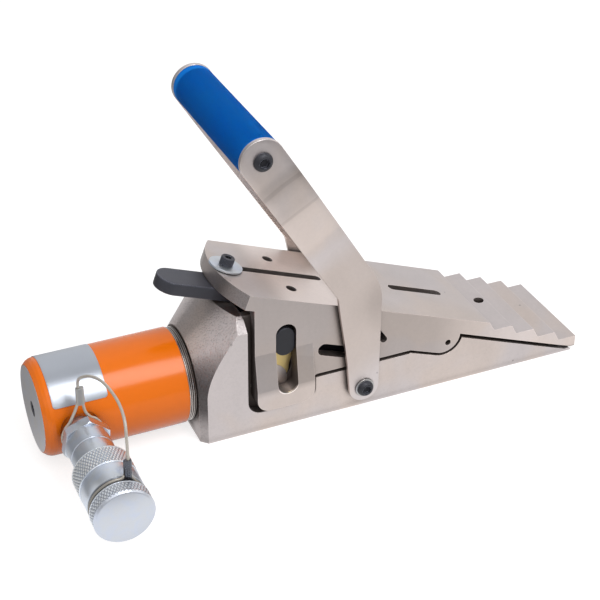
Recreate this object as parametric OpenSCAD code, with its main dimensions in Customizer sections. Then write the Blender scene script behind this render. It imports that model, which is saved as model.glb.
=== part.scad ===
// Hydraulic lifting and spreading wedge: a steel base with a sliding black wedge inside, a
// stepped jaw that the wedge lifts straight up, an oil cylinder behind and a swinging bail.
// +X points to the thin tip, +Z up; the origin is on the underside of the base, on the
// middle plane, below the rear corners of the jaw's sloping top.

/* [Body] */
// Width over the flat sides of base and jaw
body_w = 70; // [66:1:78]
// Height of the block at the rear of the base
block_h = 82; // [80:1:83]
// Length of that block, from its rear face to the leg pockets
block_len = 30.4; // [28:0.2:36]
// Chamfer along the top edges of the block
block_chamfer = 8; // [4:1:10]
// Height of the base's side walls
wall_h = 29.7; // [28.6:0.1:30.2]
// Thickness of the base's side walls
wall_t = 12; // [11:0.5:14]
// Thickness of the floor under the sliding wedge
floor_t = 7; // [5:0.5:8]
// Length of the base ahead of the origin
base_len = 228.6; // [226:0.2:230]
// Thickness of the base at its tip
base_tip_t = 1.8; // [1.2:0.1:1.9]

/* [Jaw] */
// Slope of the jaw's top and of the sliding wedge, in degrees
incline = 20.5; // [20:0.1:20.8]
// Height of the sloping top above the origin
jaw_h = 99.4; // [98.6:0.2:101]
// Length from the origin to the jaw's tip
jaw_len = 231.8; // [229:0.2:234]
// Thickness of the sloping top plate
plate_t = 9.7; // [9:0.1:10.5]
// Thickness of the jaw's side walls and legs
jaw_wall = 7; // [6:0.5:8]
// Number of level treads at the front
treads = 4; // [3:1:4]
// Length from one tread edge to the next
tread_pitch = 16.9; // [16:0.1:17.4]
// Drop from one tread to the next
tread_drop = 7.1; // [6.8:0.1:7.2]
// Height of the lowest tread
tip_h = 10.4; // [10:0.1:10.8]
// How far the riser under each tread edge leans forward
riser_run = 3.8; // [3:0.2:4.4]
// Radius of the jaw's curved rear edge
rear_r = 60; // [57:0.5:64]
// How far that edge bulges behind the origin, along the slope
rear_bulge = 12; // [11.4:0.2:12.8]
// Radius of the tapped holes for attachments
tap_r = 3.4; // [2.5:0.1:4.2]
// Distance between the two tapped holes in the sloping top
tap_span = 37.4; // [30:0.2:44]
// Width of the slot that the retaining screw slides in
slot_w = 5.8; // [5.6:0.1:7]

/* [Leg and key] */
// Rear edge of the legs that run down into the base
leg_x = 1.8; // [1:0.1:3]
// Length of a leg, front to back
leg_w = 37.9; // [36:0.1:38.4]
// Height of the bottom of a leg's foot
foot_z = 16.6; // [16:0.1:18]
// How far a foot stands out of the jaw's side
foot_out = 4; // [2:0.5:4.5]
// Width of the upright window in a leg
window_w = 13.3; // [12:0.1:15]
// Top of that window
window_top = 74; // [73:0.2:75]
// Bottom of that window
window_low = 26.4; // [26:0.2:27.4]
// Height of the fixed black key that guides the window
key_h = 19.6; // [16:0.2:20]
// Free play of the key in the window, on each side
key_gap = 0.3; // [0.2:0.05:0.6]

/* [Sliding wedge] */
// Width of the sliding wedge
wedge_w = 45; // [42:0.5:45.2]
// Front face of the sliding wedge when drawn back
wedge_front = 88; // [80:1:89]
// Lift of the jaw at full stroke
lift = 21; // [16:0.5:21.4]
// Width of the tail bar
tail_w = 20.5; // [18:0.5:24]
// Thickness of the tail bar
tail_t = 8; // [7:0.2:8.6]
// How far the tail bar's round end lies behind the origin, along the slope
tail_back = 44.4; // [42:0.2:48]
// Radius of the large washer on the slot
washer_r = 10.5; // [8:0.5:11.5]

/* [Cylinder] */
// Height of the cylinder's centre line
axis_z = 31.5; // [31:0.1:33]
// Outer radius of the barrel
barrel_r = 30.2; // [29.6:0.1:30.6]
// Radius of the bore for the piston
bore_r = 21; // [20:0.1:21.6]
// Rear face of the barrel
barrel_rear = -126.7; // [-132:0.1:-126.2]
// Front edge of the painted barrel
barrel_front = -38; // [-39:0.1:-37.4]
// Radius of the piston rod
rod_r = 10; // [8:0.1:10.4]
// Radius of the neck that screws into the base
spigot_r = 24; // [23.4:0.1:25]

/* [Coupler] */
// Distance of the coupler's centre line behind the origin
inlet_x = -106.5; // [-108:0.1:-105.8]
// Width across flats of the hexagon
hex_af = 26; // [24:0.5:28]
// Outer radius of the turning sleeve
sleeve_r = 17.5; // [16.6:0.1:17.8]
// Outer radius of the dust cap
cap_r = 17.7; // [16.8:0.1:18.4]
// Length of the dust cap's knurled rim
cap_len = 10.5; // [8:0.1:14]
// Diameter of the wire lanyard
wire_d = 1.8; // [1.4:0.1:1.9]

/* [Bail] */
// Distance of the bail's pivot ahead of the origin
pivot_x = 73; // [71:0.2:75]
// Height of the bail's pivot
pivot_z = 17; // [15.6:0.2:18]
// Thickness of the bail's arms
arm_t = 3; // [2.5:0.1:3.6]
// Distance from the pivot to the grip's centre line, along the leaning stretch
grip_up = 139.6; // [130:0.2:148]
// Lean of the arms' upper stretch, in degrees from upright
lean = 32.3; // [30:0.1:34]
// Inner width between the arms at the grip
grip_len = 103.4; // [96:0.2:110]
// Radius of the grip
grip_r = 12.9; // [11.5:0.1:13.1]
// Width of the arms' upper stretch
arm_w = 26.4; // [26:0.1:28]

/* [Hidden] */
$fn = 72;

// Clearances
slide_gap = 0.3;
run_gap = 0.1;
foot_gap = 1.6;
parting = 2.5;

// Stroke of the sliding wedge, and the jaw's main lines
tan_i = tan(incline);
stroke = lift / tan_i;
half_w = body_w / 2;
function top_z(x) = jaw_h - x * tan_i;
function off_z(x, off) = jaw_h - off / cos(incline) - x * tan_i;
function tread_x(k) = jaw_len - (treads - 1 - k) * tread_pitch;
function tread_z(k) = tip_h + (treads - 1 - k) * tread_drop;
slope_end = jaw_len - treads * tread_pitch;
// A point of the jaw's side view, from its distance down the slope and square to it
function slope_pt(s, n) =
    [s * cos(incline) + n * sin(incline), jaw_h - s * sin(incline) + n * cos(incline)];

// Underside of the nose: a straight ramp from its heel to the tip, above the base's ramp
nose_back = 21.6;
nose_x = slope_end - nose_back;
nose_z = 35.5;
tip_under = 2.7;
tip_flat = 3.4;
nose_k = (nose_z - tip_under) / (jaw_len - tip_flat - nose_x);
function nose_line(x) = nose_z - (x - nose_x) * nose_k;
ramp_drop = 2.7;
function ramp_line(x) = nose_line(x) - ramp_drop;

// Skirt and lobe of the jaw's side walls, and the leg pocket in the base
skirt_z = wall_h + parting;
lobe_r = 11.8;
lobe_x = nose_x - lobe_r;
lobe_z = 36;
lobe_in = 1.9;
dot_r = 2;
dot_ahead = 3.3;
dot_below = 5;
pocket_x = block_len - 33.2;
block_back = pocket_x - block_len;
leg_end = leg_x + leg_w;
pocket_end = leg_end + foot_gap;
pocket_z = foot_z - 2.9;
pocket_r = 9;
cheek_y = half_w - jaw_wall - slide_gap;
cavity_y = half_w - wall_t;
cavity_end = wedge_front + stroke + 4;
leg_mid = leg_x + 20.2;
foot_flat_z = 31;
foot_top_z = 56;

// Key, side slot and side ports
key_w = window_w - 2 * key_gap;
key_z = window_top - 3.8 - key_h / 2;
key_face = half_w - 1.5;
side_slot_r = 4.1;
side_slot_l = 29;
side_slot_x = 47.3;
side_slot_z = 48.9;
vent_r = 2.2;
vent_l = 12;
vent_turn = 124.5;
vent_x = 88;
vent_z = 45.6;
port_r = 9.4;
port_x = leg_x + 17.4;
port_z = axis_z + 8;

// Sliding wedge and tail
wedge_rear = 0.5;
wedge_off = plate_t + slide_gap;
tail_top = plate_t + slide_gap;
tail_in = 34;
fixing_s = [12, 25];
fixing_in = 13;
channel_l = 60;
screw_s = -3;
slot_from = screw_s - 0.6;
slot_to = screw_s + stroke / cos(incline) + 4.2;
screw_r = 2.5;
fore_slot_from = 118.4;
fore_slot_to = 153.2;
fore_slot_r = 3.1;
tap_s = 34.4;
tread_tap_in = 5;
pin_x = 20;
pin_r = 6;
disc_r = 12.5;
rod_front = 28;

// Cylinder stations
spigot_end = -12;
ring_rear = barrel_front;
disc_t = 6;
disc_edge_r = barrel_r - 3.7;
land_x = -103;
land_t = 6;
guide_x = -20;
rod_tail_r = 8;

// Coupler stations, measured from the middle plane
neck_r = 11.3;
hex_y = 38.7;
hex_t = 6.3;
hex_turn = 20;
body_r = 13;
sleeve_y = 71.3;
band_y = 86.6;
sleeve_end = 100.4;
neck_end = 104.3;
cap_face = neck_end + cap_len;
socket_r = 10.1;
valve_y = 92;

// Bail stations; t runs up along the leaning stretch, n lies square to it
sin_l = sin(lean);
cos_l = cos(lean);
arm_in = half_w + 2;
elbow_r = 40;
pivot_r = 10;
grip_end_y = grip_len / 2;
core_r = 8;
core_tap = 16;
foot_t = -pivot_x * sin_l + pivot_z * cos_l;
grip_t = foot_t + grip_up + 51;
elbow_x = pivot_x + pivot_r;
left_n = elbow_x * cos_l + 72.2 * sin_l - 17.4;
grip_n = left_n + arm_w / 2;
grip_x = grip_n * cos_l - grip_t * sin_l;
grip_z = grip_n * sin_l + grip_t * cos_l;
bend_from = 25;
bend_to = grip_t - 42.4;
bend_len = 20;
spread = grip_end_y - arm_in;
bend_k = spread / (bend_to - bend_from);
bush_flange = 1.2;
bush_r = pivot_r / 2 - 0.05;
m6_r = 3;

// shared helpers
function arc(cx, cy, r, a0, a1, n) =
    [for (i = [0:n]) [cx + r * cos(a0 + (a1 - a0) * i / n), cy + r * sin(a0 + (a1 - a0) * i / n)]];

// Draws an outline of X and Z as a plate from y0 to y1
module side_plate(y0, y1) {
    translate([0, y1, 0]) rotate([90, 0, 0]) linear_extrude(y1 - y0) children();
}

// Draws an outline of Y and Z as a bar from x0 to x1
module cross_bar(x0, x1) {
    translate([x0, 0, 0]) rotate([90, 0, 90]) linear_extrude(x1 - x0) children();
}

// A round bar along X on the cylinder's centre line
module x_rod(x0, x1, r, r2 = -1) {
    translate([x0, 0, axis_z]) rotate([0, 90, 0]) cylinder(h = x1 - x0, r1 = r, r2 = r2 < 0 ? r : r2);
}

// A turned shape about that line: the outline gives the distance along X and the radius
module x_turned() {
    translate([0, 0, axis_z]) rotate([0, 90, 0]) rotate_extrude() mirror([1, -1]) children();
}

// A round bar along Y, from y0 to y1
module y_rod(x, z, y0, y1, r) {
    translate([x, y1, z]) rotate([90, 0, 0]) cylinder(h = y1 - y0, r = r);
}

// A round bar of the coupler, between two distances out from the middle plane
module inlet_rod(d0, d1, r) {
    y_rod(inlet_x, axis_z, -d1, -d0, r);
}

module both_sides() {
    children();
    mirror([0, 1, 0]) children();
}

// Local X runs down the slope from above the origin, and local Z stands square to it
module on_slope() {
    translate([0, 0, jaw_h]) rotate([0, incline, 0]) children();
}

// A long hole with round ends, lying along X from a to b
module long_hole(a, b, r) {
    translate([a, 0]) circle(r = r);
    translate([b, 0]) circle(r = r);
    translate([a, -r]) square([b - a, 2 * r]);
}

// An upright long hole around x, between two heights
module upright_hole(x, z0, z1, r) {
    translate([x, 0]) rotate(90) long_hole(z0 + r, z1 - r, r);
}

// A plate outline whose two lower corners are round
module round_foot(x0, x1, z0, z1, r) {
    translate([x0, z0 + r]) square([x1 - x0, z1 - z0 - r]);
    translate([x0 + r, z0]) square([x1 - x0 - 2 * r, r + 1]);
    translate([x0 + r, z0 + r]) circle(r = r);
    translate([x1 - r, z0 + r]) circle(r = r);
}

// A button-head screw standing along +Z, with its seat at the origin
module button_screw(head_r, head_h, shank_r, shank_l) {
    difference() {
        rotate_extrude() polygon([
            [0, 0], [head_r, 0], [head_r, head_h * 0.2], [head_r * 0.9, head_h * 0.55],
            [head_r * 0.7, head_h * 0.85], [head_r * 0.45, head_h], [0, head_h]
        ]);
        translate([0, 0, head_h * 0.4]) cylinder(h = head_h, r = head_r * 0.42, $fn = 6);
    }
    translate([0, 0, -shank_l]) cylinder(h = shank_l + 0.1, r = shank_r);
}

// base
// Side outline of the base's walls, with the hollow that the jaw's lobe drops into
module base_outline() {
    lobe_c = lobe_r + lobe_in;
    difference() {
        polygon([
            [pocket_x - 1, 0], [base_len + 0.4, 0], [base_len + 0.4, base_tip_t * 0.4],
            [base_len - 0.8, base_tip_t], [nose_x + (nose_z - ramp_drop - base_tip_t) / nose_k, base_tip_t],
            [lobe_x + 11, ramp_line(lobe_x + 11)], [lobe_x - 24, wall_h + 9],
            [lobe_x - 24, wall_h], [pocket_x - 1, wall_h]
        ]);
        translate([lobe_x, lobe_z]) circle(r = lobe_c);
        polygon([
            [lobe_x - lobe_c * sin(incline), lobe_z - lobe_c * cos(incline)],
            [lobe_x, lobe_z + 14], [lobe_x - 40, lobe_z + 14],
            [lobe_x - 40, lobe_z - lobe_c / cos(incline) + 40 * tan_i]
        ]);
    }
}

// Rear end of the block: an arch that widens forward at 45 degrees
module arch_end() {
    r0 = axis_z - 0.7;
    x_rod(block_back, pocket_x, r0, r0 + block_len);
    linear_extrude(axis_z) polygon([
        [block_back, -r0], [pocket_x, -r0 - block_len], [pocket_x, r0 + block_len], [block_back, r0]
    ]);
}

module block() {
    intersection() {
        cross_bar(block_back, pocket_x) polygon([
            [-half_w, 0], [half_w, 0], [half_w, block_h - block_chamfer],
            [half_w - block_chamfer, block_h], [block_chamfer - half_w, block_h],
            [-half_w, block_h - block_chamfer]
        ]);
        arch_end();
    }
}

// Inner cheek that carries the key, tucked under the jaw's top plate
module cheek() {
    rear = pocket_x - 1;
    side_plate(cavity_y, cheek_y) intersection() {
        polygon([
            [rear, 0], [pocket_end, 0], [pocket_end, off_z(pocket_end, plate_t) - 2],
            [rear, off_z(rear, plate_t) - 2]
        ]);
        translate([rear, 0]) square([pocket_end - rear, block_h]);
    }
}

module base_body() {
    color([0.78, 0.75, 0.73]) difference() {
        union() {
            block();
            both_sides() {
                difference() {
                    side_plate(cavity_y, half_w) base_outline();
                    side_plate(cheek_y, half_w + 1)
                        round_foot(pocket_x, pocket_end, pocket_z, block_h, pocket_r);
                }
                cheek();
            }
            translate([pocket_x - 1, -cavity_y - 1, 0])
                cube([cavity_end - pocket_x + 2, 2 * cavity_y + 2, floor_t]);
            intersection() {
                side_plate(-half_w, half_w) base_outline();
                translate([cavity_end, -half_w, 0]) cube([base_len, body_w, block_h]);
            }
        }
        x_rod(block_back - 1, spigot_end, spigot_r + 0.02);
        x_rod(spigot_end - 1, pocket_x + 1, rod_r + 1.5);
        on_slope() translate([-channel_l, -tail_w / 2 - 0.5, -tail_top - tail_t - 0.5])
            cube([channel_l + tail_in, tail_w + 1, channel_l]);
        both_sides() {
            y_rod(pivot_x, pivot_z, cavity_y - 1, half_w + 1, m6_r);
            side_plate(cavity_y - 1, cheek_y + 1)
                upright_hole(leg_mid, key_z - key_h / 2, key_z + key_h / 2, key_w / 2);
            y_rod(port_x, port_z, cavity_y - 1, cheek_y + 1, port_r);
        }
    }
}

module key() {
    side_plate(cavity_y + 0.2, key_face)
        upright_hole(leg_mid, key_z - key_h / 2, key_z + key_h / 2, key_w / 2);
}

module key_near() {
    color([0.16, 0.16, 0.18]) mirror([0, 1, 0]) key();
}

module key_far() {
    color([0.16, 0.16, 0.18]) key();
}

// cylinder
module barrel() {
    edge = 3.4;
    color([0.92, 0.45, 0.05]) difference() {
        x_turned() polygon([
            [barrel_rear, 0], [barrel_rear, disc_edge_r + 0.5], [barrel_rear + 0.5, disc_edge_r + 1],
            [barrel_rear + 2.2, barrel_r - edge * 0.35], [barrel_rear + 4.2, barrel_r - edge * 0.08],
            [barrel_rear + 6.2, barrel_r], [barrel_front - 0.5, barrel_r],
            [barrel_front, barrel_r - 0.5], [barrel_front, spigot_r], [spigot_end, spigot_r],
            [spigot_end, 0]
        ]);
        x_rod(barrel_rear - 1, barrel_rear + disc_t, disc_edge_r);
        x_rod(barrel_rear + disc_t - 1, spigot_end + 1, bore_r);
        inlet_rod(bore_r - 3, barrel_r + 2, rod_tail_r);
        inlet_rod(barrel_r - 1.6, barrel_r + 2, neck_r + 0.6);
    }
}

module end_disc() {
    color([0.72, 0.71, 0.71]) difference() {
        x_rod(barrel_rear - 0.2, barrel_rear + disc_t, disc_edge_r - 0.05);
        x_rod(barrel_rear - 1, barrel_rear + disc_t + 1, 5);
    }
}

module end_plug() {
    color([0.25, 0.25, 0.27]) difference() {
        x_rod(barrel_rear, barrel_rear + disc_t - 0.5, 4.95);
        translate([barrel_rear - 1, 0, axis_z]) rotate([0, 90, 0])
            cylinder(h = 4, r = 2.9, $fn = 6);
    }
}

// Threaded ring that shows between the paint and the base
module lock_ring() {
    color([0.62, 0.61, 0.6]) x_turned() polygon([
        [barrel_front + 0.1, spigot_r + 0.05], [barrel_front + 0.1, barrel_r - 1],
        [barrel_front + 1.1, barrel_r - 0.7], [barrel_front + 1.5, barrel_r - 1.6],
        [barrel_front + 2.1, barrel_r - 1.6], [barrel_front + 2.5, barrel_r - 0.7],
        [barrel_front + 3.5, barrel_r - 0.9], [block_back - 0.9, barrel_r - 2.6],
        [block_back - 0.05, barrel_r - 2.6], [block_back - 0.05, spigot_r + 0.05]
    ]);
}

module rod_guide() {
    color([0.7, 0.55, 0.25]) x_turned() polygon([
        [guide_x, rod_r + run_gap], [guide_x, bore_r - 0.02], [spigot_end, bore_r - 0.02],
        [spigot_end, rod_r + run_gap], [spigot_end - 2.5, rod_r + run_gap],
        [spigot_end - 2.5, rod_r + 2.2], [spigot_end - 5, rod_r + 2.2],
        [spigot_end - 5, rod_r + run_gap]
    ]);
}

module rod_seal() {
    color([0.1, 0.1, 0.1]) x_turned() polygon([
        [spigot_end - 4.95, rod_r + 0.04], [spigot_end - 4.95, rod_r + 2.15],
        [spigot_end - 2.55, rod_r + 2.15], [spigot_end - 2.55, rod_r + 0.04]
    ]);
}

// Thin bare plate wrapped over the near and upper side of the barrel
module label_plate() {
    plate_r = barrel_r + 0.3;
    color([0.86, 0.87, 0.89]) intersection() {
        difference() {
            x_rod(barrel_rear + 6.3, barrel_rear + 39.4, plate_r);
            x_rod(barrel_rear + 5, barrel_rear + 41, barrel_r);
        }
        cross_bar(barrel_rear, barrel_front) polygon([
            [0, axis_z], [-50 * cos(30), axis_z + 50 * sin(30)], [-50, axis_z + 70],
            [50, axis_z + 70], [50 * cos(30), axis_z + 50 * sin(30)]
        ]);
    }
}

// coupler
module inlet_adapter() {
    hex_r = hex_af / 2 / cos(30);
    color([0.76, 0.78, 0.8]) difference() {
        union() {
            inlet_rod(bore_r + 1, barrel_r - 1, rod_tail_r - 0.03);
            inlet_rod(barrel_r - 1.55, hex_y, neck_r);
            intersection() {
                translate([inlet_x, -hex_y, axis_z]) rotate([90, -hex_turn, 0])
                    cylinder(h = hex_t, r = hex_r, $fn = 6);
                translate([inlet_x, -hex_y, axis_z]) rotate([90, 0, 0]) rotate_extrude() polygon([
                    [0, 0], [hex_r - 0.8, 0], [hex_r + 0.1, 0.5], [hex_r + 0.1, hex_t - 1.5],
                    [hex_r - 1.7, hex_t], [0, hex_t]
                ]);
            }
        }
        inlet_rod(bore_r, hex_y + hex_t + 1, 3);
    }
}

module coupler_body() {
    color([0.76, 0.78, 0.8]) difference() {
        union() {
            inlet_rod(hex_y + hex_t, sleeve_y + 1, body_r);
            inlet_rod(sleeve_y, sleeve_end - 0.4, body_r - 0.4);
        }
        inlet_rod(hex_y + hex_t - 1, valve_y + 1, 3);
        inlet_rod(valve_y - 6, sleeve_end + 1, socket_r);
    }
}

module coupler_valve() {
    color([0.8, 0.68, 0.35]) translate([inlet_x, 0, axis_z]) rotate([90, 0, 0]) rotate_extrude() polygon([
        [0, valve_y - 6], [socket_r - 0.1, valve_y - 6], [socket_r - 0.1, valve_y - 2],
        [5, valve_y - 2], [4, valve_y], [2.5, valve_y + 1.6], [0, valve_y + 1.6]
    ]);
}

module coupler_seal() {
    color([0.1, 0.1, 0.1]) difference() {
        inlet_rod(valve_y - 1.9, valve_y, socket_r - 0.05);
        inlet_rod(valve_y - 3, valve_y + 2, socket_r - 1.8);
    }
}

// Turning sleeve: a knurled rear half and a smooth, bare front band
module coupler_sleeve() {
    color([0.74, 0.76, 0.79]) translate([inlet_x, 0, axis_z]) rotate([90, 0, 0]) rotate_extrude() polygon([
        [body_r + 0.3, sleeve_y], [sleeve_r - 0.9, sleeve_y], [sleeve_r, sleeve_y + 0.9],
        [sleeve_r, band_y - 0.5], [sleeve_r - 0.35, band_y], [sleeve_r - 0.35, sleeve_end - 1],
        [sleeve_r - 1.2, sleeve_end], [body_r + 0.3, sleeve_end]
    ]);
}

module dust_cap() {
    color([0.8, 0.82, 0.85]) translate([inlet_x, 0, axis_z]) rotate([90, 0, 0]) rotate_extrude() polygon([
        [0, valve_y + 2.2], [socket_r - 1.2, valve_y + 2.2], [socket_r - 0.3, valve_y + 3],
        [socket_r - 0.3, sleeve_end + 0.3], [cap_r - 2.7, sleeve_end + 0.3],
        [cap_r - 2.7, neck_end], [cap_r - 1.3, neck_end], [cap_r, neck_end + 1.1],
        [cap_r, cap_face - 1.4], [cap_r - 0.9, cap_face - 0.3], [cap_r - 1.6, cap_face], [0, cap_face]
    ]);
}

// lanyard
ring_y = -102.2;
eye_y = -36;
// Route of the wire: an eye round the adapter's neck, up through the crimp, over in one
// free arch, down through the ferrule and once round the groove behind the cap's rim
route = [
    [-105.3, eye_y, 62], [-105.1, eye_y, 54], [-103.9, eye_y, 47.2], [-101.2, eye_y, 43],
    [-97.7, eye_y, 40.3], [-94.4, eye_y, 34.1], [-94.9, eye_y, 27.1], [-99.2, eye_y, 21.5],
    [-105.9, eye_y, 19.1], [-112.7, eye_y, 20.8], [-117.5, eye_y, 25.9], [-118.8, eye_y, 32.8],
    [-116.7, eye_y, 38.6], [-113, eye_y, 43.6], [-109.8, eye_y, 49.4], [-107.7, eye_y, 56],
    [-107.2, eye_y, 66.5], [-106.6, -38.6, 73.1], [-102.9, -47, 79.4], [-99.8, -58.5, 83.4],
    [-98, -71, 84.8], [-97.2, -84, 84.4], [-97.9, -95.5, 81.2], [-99.1, -101.2, 72.2],
    [-99.5, -102.3, 61], [-99.1, -102.4, 52], [-96.4, ring_y, 44.7], [-91.4, ring_y, 37.9],
    [-90.1, ring_y, 30.4], [-92.4, ring_y, 23.1], [-97.8, ring_y, 17.6], [-105.1, ring_y, 15.2],
    [-112.6, ring_y, 16.3], [-118.9, ring_y, 20.7], [-122.4, ring_y, 27.5], [-122.5, ring_y, 35.2],
    [-119.1, ring_y, 42], [-112.9, ring_y, 46.6], [-107.6, ring_y, 47.9], [-103.8, ring_y, 48],
    [-101.7, ring_y, 50.6], [-101.4, -102.4, 56]
];

// A smooth curve through the route's points
function bend(a, b, c, d, t) =
    0.5 * (2 * b + (c - a) * t + (2 * a - 5 * b + 4 * c - d) * t * t
    + (3 * b - a - 3 * c + d) * t * t * t);
last = len(route) - 1;
function route_at(i) = route[max(0, min(last, i))];
wire_path = concat(
    [for (i = [0:last - 1], j = [0:1])
        bend(route_at(i - 1), route_at(i), route_at(i + 1), route_at(i + 2), j / 2)],
    [route_at(last)]
);

function unit(v) = v / norm(v);
function path_dir(p, i) = unit(p[min(len(p) - 1, i + 1)] - p[max(0, i - 1)]);
function carried(n, d) = unit(n - (n * d) * d);
function side_list(p, i, n) =
    i >= len(p) ? [] : let (m = carried(n, path_dir(p, i))) concat([m], side_list(p, i + 1, m));

// A tube of sides flat faces that follows the path p
module wire_tube(p, r, sides) {
    sn = side_list(p, 0, [0, 1, 0]);
    points = [for (i = [0:len(p) - 1], k = [0:sides - 1])
        let (a = 360 * k / sides, m = sn[i], b = cross(path_dir(p, i), m))
        p[i] + r * (cos(a) * m + sin(a) * b)];
    n = len(p);
    ends = [
        [for (k = [0:sides - 1]) k],
        [for (k = [0:sides - 1]) (n - 1) * sides + sides - 1 - k]
    ];
    walls = [for (i = [0:n - 2], k = [0:sides - 1], h = [0:1])
        let (a = i * sides + k, b = i * sides + (k + 1) % sides)
        h == 0 ? [a, a + sides, b] : [b, a + sides, b + sides]];
    polyhedron(points = points, faces = concat(ends, walls), convexity = 8);
}

module lanyard() {
    color([0.72, 0.7, 0.68]) wire_tube(wire_path, wire_d / 2, 8);
}

// Oval sleeve pressed on two strands of the wire
module crimp(w, d, h) {
    translate([-w / 2 + d / 2, 0, 0]) cylinder(h = h, r = d / 2);
    translate([w / 2 - d / 2, 0, 0]) cylinder(h = h, r = d / 2);
    translate([-w / 2 + d / 2, -d / 2, 0]) cube([w - d, d, h]);
}

module crimp_upper() {
    color([0.75, 0.74, 0.72]) translate([-106.4, eye_y, 53.6]) crimp(4.9, 3.2, 11.7);
}

module ferrule_lower() {
    color([0.3, 0.31, 0.34]) translate([-100.3, -102.4, 47.9]) rotate([0, 2, 0]) crimp(4.7, 3.1, 12);
}

// bail pivots
module pivot_bush() {
    translate([pivot_x, arm_in + arm_t + 0.1, pivot_z]) rotate([-90, 0, 0]) difference() {
        union() {
            cylinder(h = bush_flange, r = 6.2);
            translate([0, 0, -arm_t - 2.1]) cylinder(h = arm_t + 2.2, r = bush_r);
        }
        translate([0, 0, -9]) cylinder(h = 20, r = m6_r);
    }
}

module pivot_washer() {
    difference() {
        y_rod(pivot_x, pivot_z, half_w, arm_in - 0.1, 8.5);
        y_rod(pivot_x, pivot_z, half_w - 1, arm_in + 1, bush_r + 0.02);
    }
}

module pivot_screw() {
    translate([pivot_x, arm_in + arm_t + 0.1 + bush_flange, pivot_z]) rotate([-90, 0, 0])
        button_screw(5.25, 3.3, m6_r - 0.04, 14.5);
}

module pivot_bush_far() {
    color([0.75, 0.75, 0.76]) pivot_bush();
}

module pivot_bush_near() {
    color([0.75, 0.75, 0.76]) mirror([0, 1, 0]) pivot_bush();
}

module pivot_washer_far() {
    color([0.2, 0.2, 0.2]) pivot_washer();
}

module pivot_washer_near() {
    color([0.2, 0.2, 0.2]) mirror([0, 1, 0]) pivot_washer();
}

module pivot_screw_far() {
    color([0.18, 0.18, 0.2]) pivot_screw();
}

module pivot_screw_near() {
    color([0.18, 0.18, 0.2]) mirror([0, 1, 0]) pivot_screw();
}

// piston and wedge
module piston() {
    color([0.7, 0.7, 0.7]) x_turned() polygon([
        [barrel_rear + disc_t + 1, rod_tail_r], [barrel_rear + disc_t + 1, bore_r - 5],
        [land_x, bore_r - 5], [land_x, bore_r - run_gap], [land_x + 2, bore_r - run_gap],
        [land_x + 2, bore_r - 2], [land_x + 4, bore_r - 2], [land_x + 4, bore_r - run_gap],
        [land_x + land_t, bore_r - run_gap], [land_x + land_t, rod_tail_r]
    ]);
}

module piston_seal() {
    color([0.1, 0.1, 0.1]) x_turned() polygon([
        [land_x + 2.05, bore_r - 1.95], [land_x + 2.05, bore_r - 0.05],
        [land_x + 3.95, bore_r - 0.05], [land_x + 3.95, bore_r - 1.95]
    ]);
}

module piston_rod() {
    color([0.82, 0.82, 0.83]) difference() {
        union() {
            x_rod(barrel_rear + disc_t + 1, land_x + land_t, rod_tail_r);
            x_rod(land_x + land_t, rod_front, rod_r);
        }
        y_rod(pin_x, axis_z, -rod_r - 1, rod_r + 1, pin_r);
    }
}

// Return spring round the rod, drawn as the plain tube that its coils fill
module return_spring() {
    color([0.55, 0.56, 0.6]) difference() {
        x_rod(land_x + land_t + 0.2, guide_x - 0.2, bore_r - 2.5);
        x_rod(land_x, guide_x + 1, rod_r + 2);
    }
}

// Solid wedge: level below, parallel to the jaw's slope above
module drive_wedge() {
    color([0.13, 0.13, 0.14]) difference() {
        side_plate(-wedge_w / 2, wedge_w / 2) polygon([
            [wedge_rear, floor_t + slide_gap], [wedge_front, floor_t + slide_gap],
            [wedge_front, off_z(wedge_front, wedge_off)], [wedge_rear, off_z(wedge_rear, wedge_off)]
        ]);
        on_slope() translate([-10, -tail_w / 2, -tail_top - tail_t]) cube([10 + tail_in, tail_w, 30]);
        x_rod(wedge_rear - 1, rod_front + 0.2, rod_r + 0.02);
        y_rod(pin_x, axis_z, -wedge_w, wedge_w, pin_r);
        both_sides() y_rod(pin_x, axis_z, wedge_w / 2 - 4.2, wedge_w, disc_r + 0.5);
        for (s = fixing_s) on_slope() translate([s, 0, -tail_top - tail_t - 14])
            cylinder(h = 20, r = screw_r);
    }
}

module cross_pin() {
    color([0.5, 0.48, 0.46]) {
        y_rod(pin_x, axis_z, -wedge_w / 2 + 2.1, wedge_w / 2 - 2.1, pin_r - 0.02);
        both_sides() y_rod(pin_x, axis_z, wedge_w / 2 - 2.2, wedge_w / 2 - 0.4, 8.5);
    }
}

module pin_disc() {
    difference() {
        y_rod(pin_x, axis_z, wedge_w / 2 - 4.2, wedge_w / 2 - 2.2, disc_r);
        y_rod(pin_x, axis_z, 0, wedge_w, pin_r);
    }
}

module pin_disc_near() {
    color([0.8, 0.68, 0.25]) mirror([0, 1, 0]) pin_disc();
}

module pin_disc_far() {
    color([0.8, 0.68, 0.25]) pin_disc();
}

// Flat bar let into the wedge's top, which slides under the jaw's plate
module tail_bar() {
    color([0.15, 0.16, 0.18]) difference() {
        on_slope() translate([0, 0, -tail_top - tail_t]) linear_extrude(tail_t) union() {
            translate([tail_w / 2 - tail_back, 0]) circle(r = tail_w / 2);
            translate([tail_w / 2 - tail_back, -tail_w / 2]) square([tail_back + tail_in - tail_w / 2, tail_w]);
        }
        on_slope() translate([screw_s, 0, -40]) cylinder(h = 60, r = screw_r);
        for (s = fixing_s) on_slope() translate([s, 0, -tail_top - tail_t - 1]) {
            cylinder(h = 20, r = screw_r + 0.1);
            translate([0, 0, 4]) cylinder(h = 20, r = 4.6);
        }
    }
}

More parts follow.
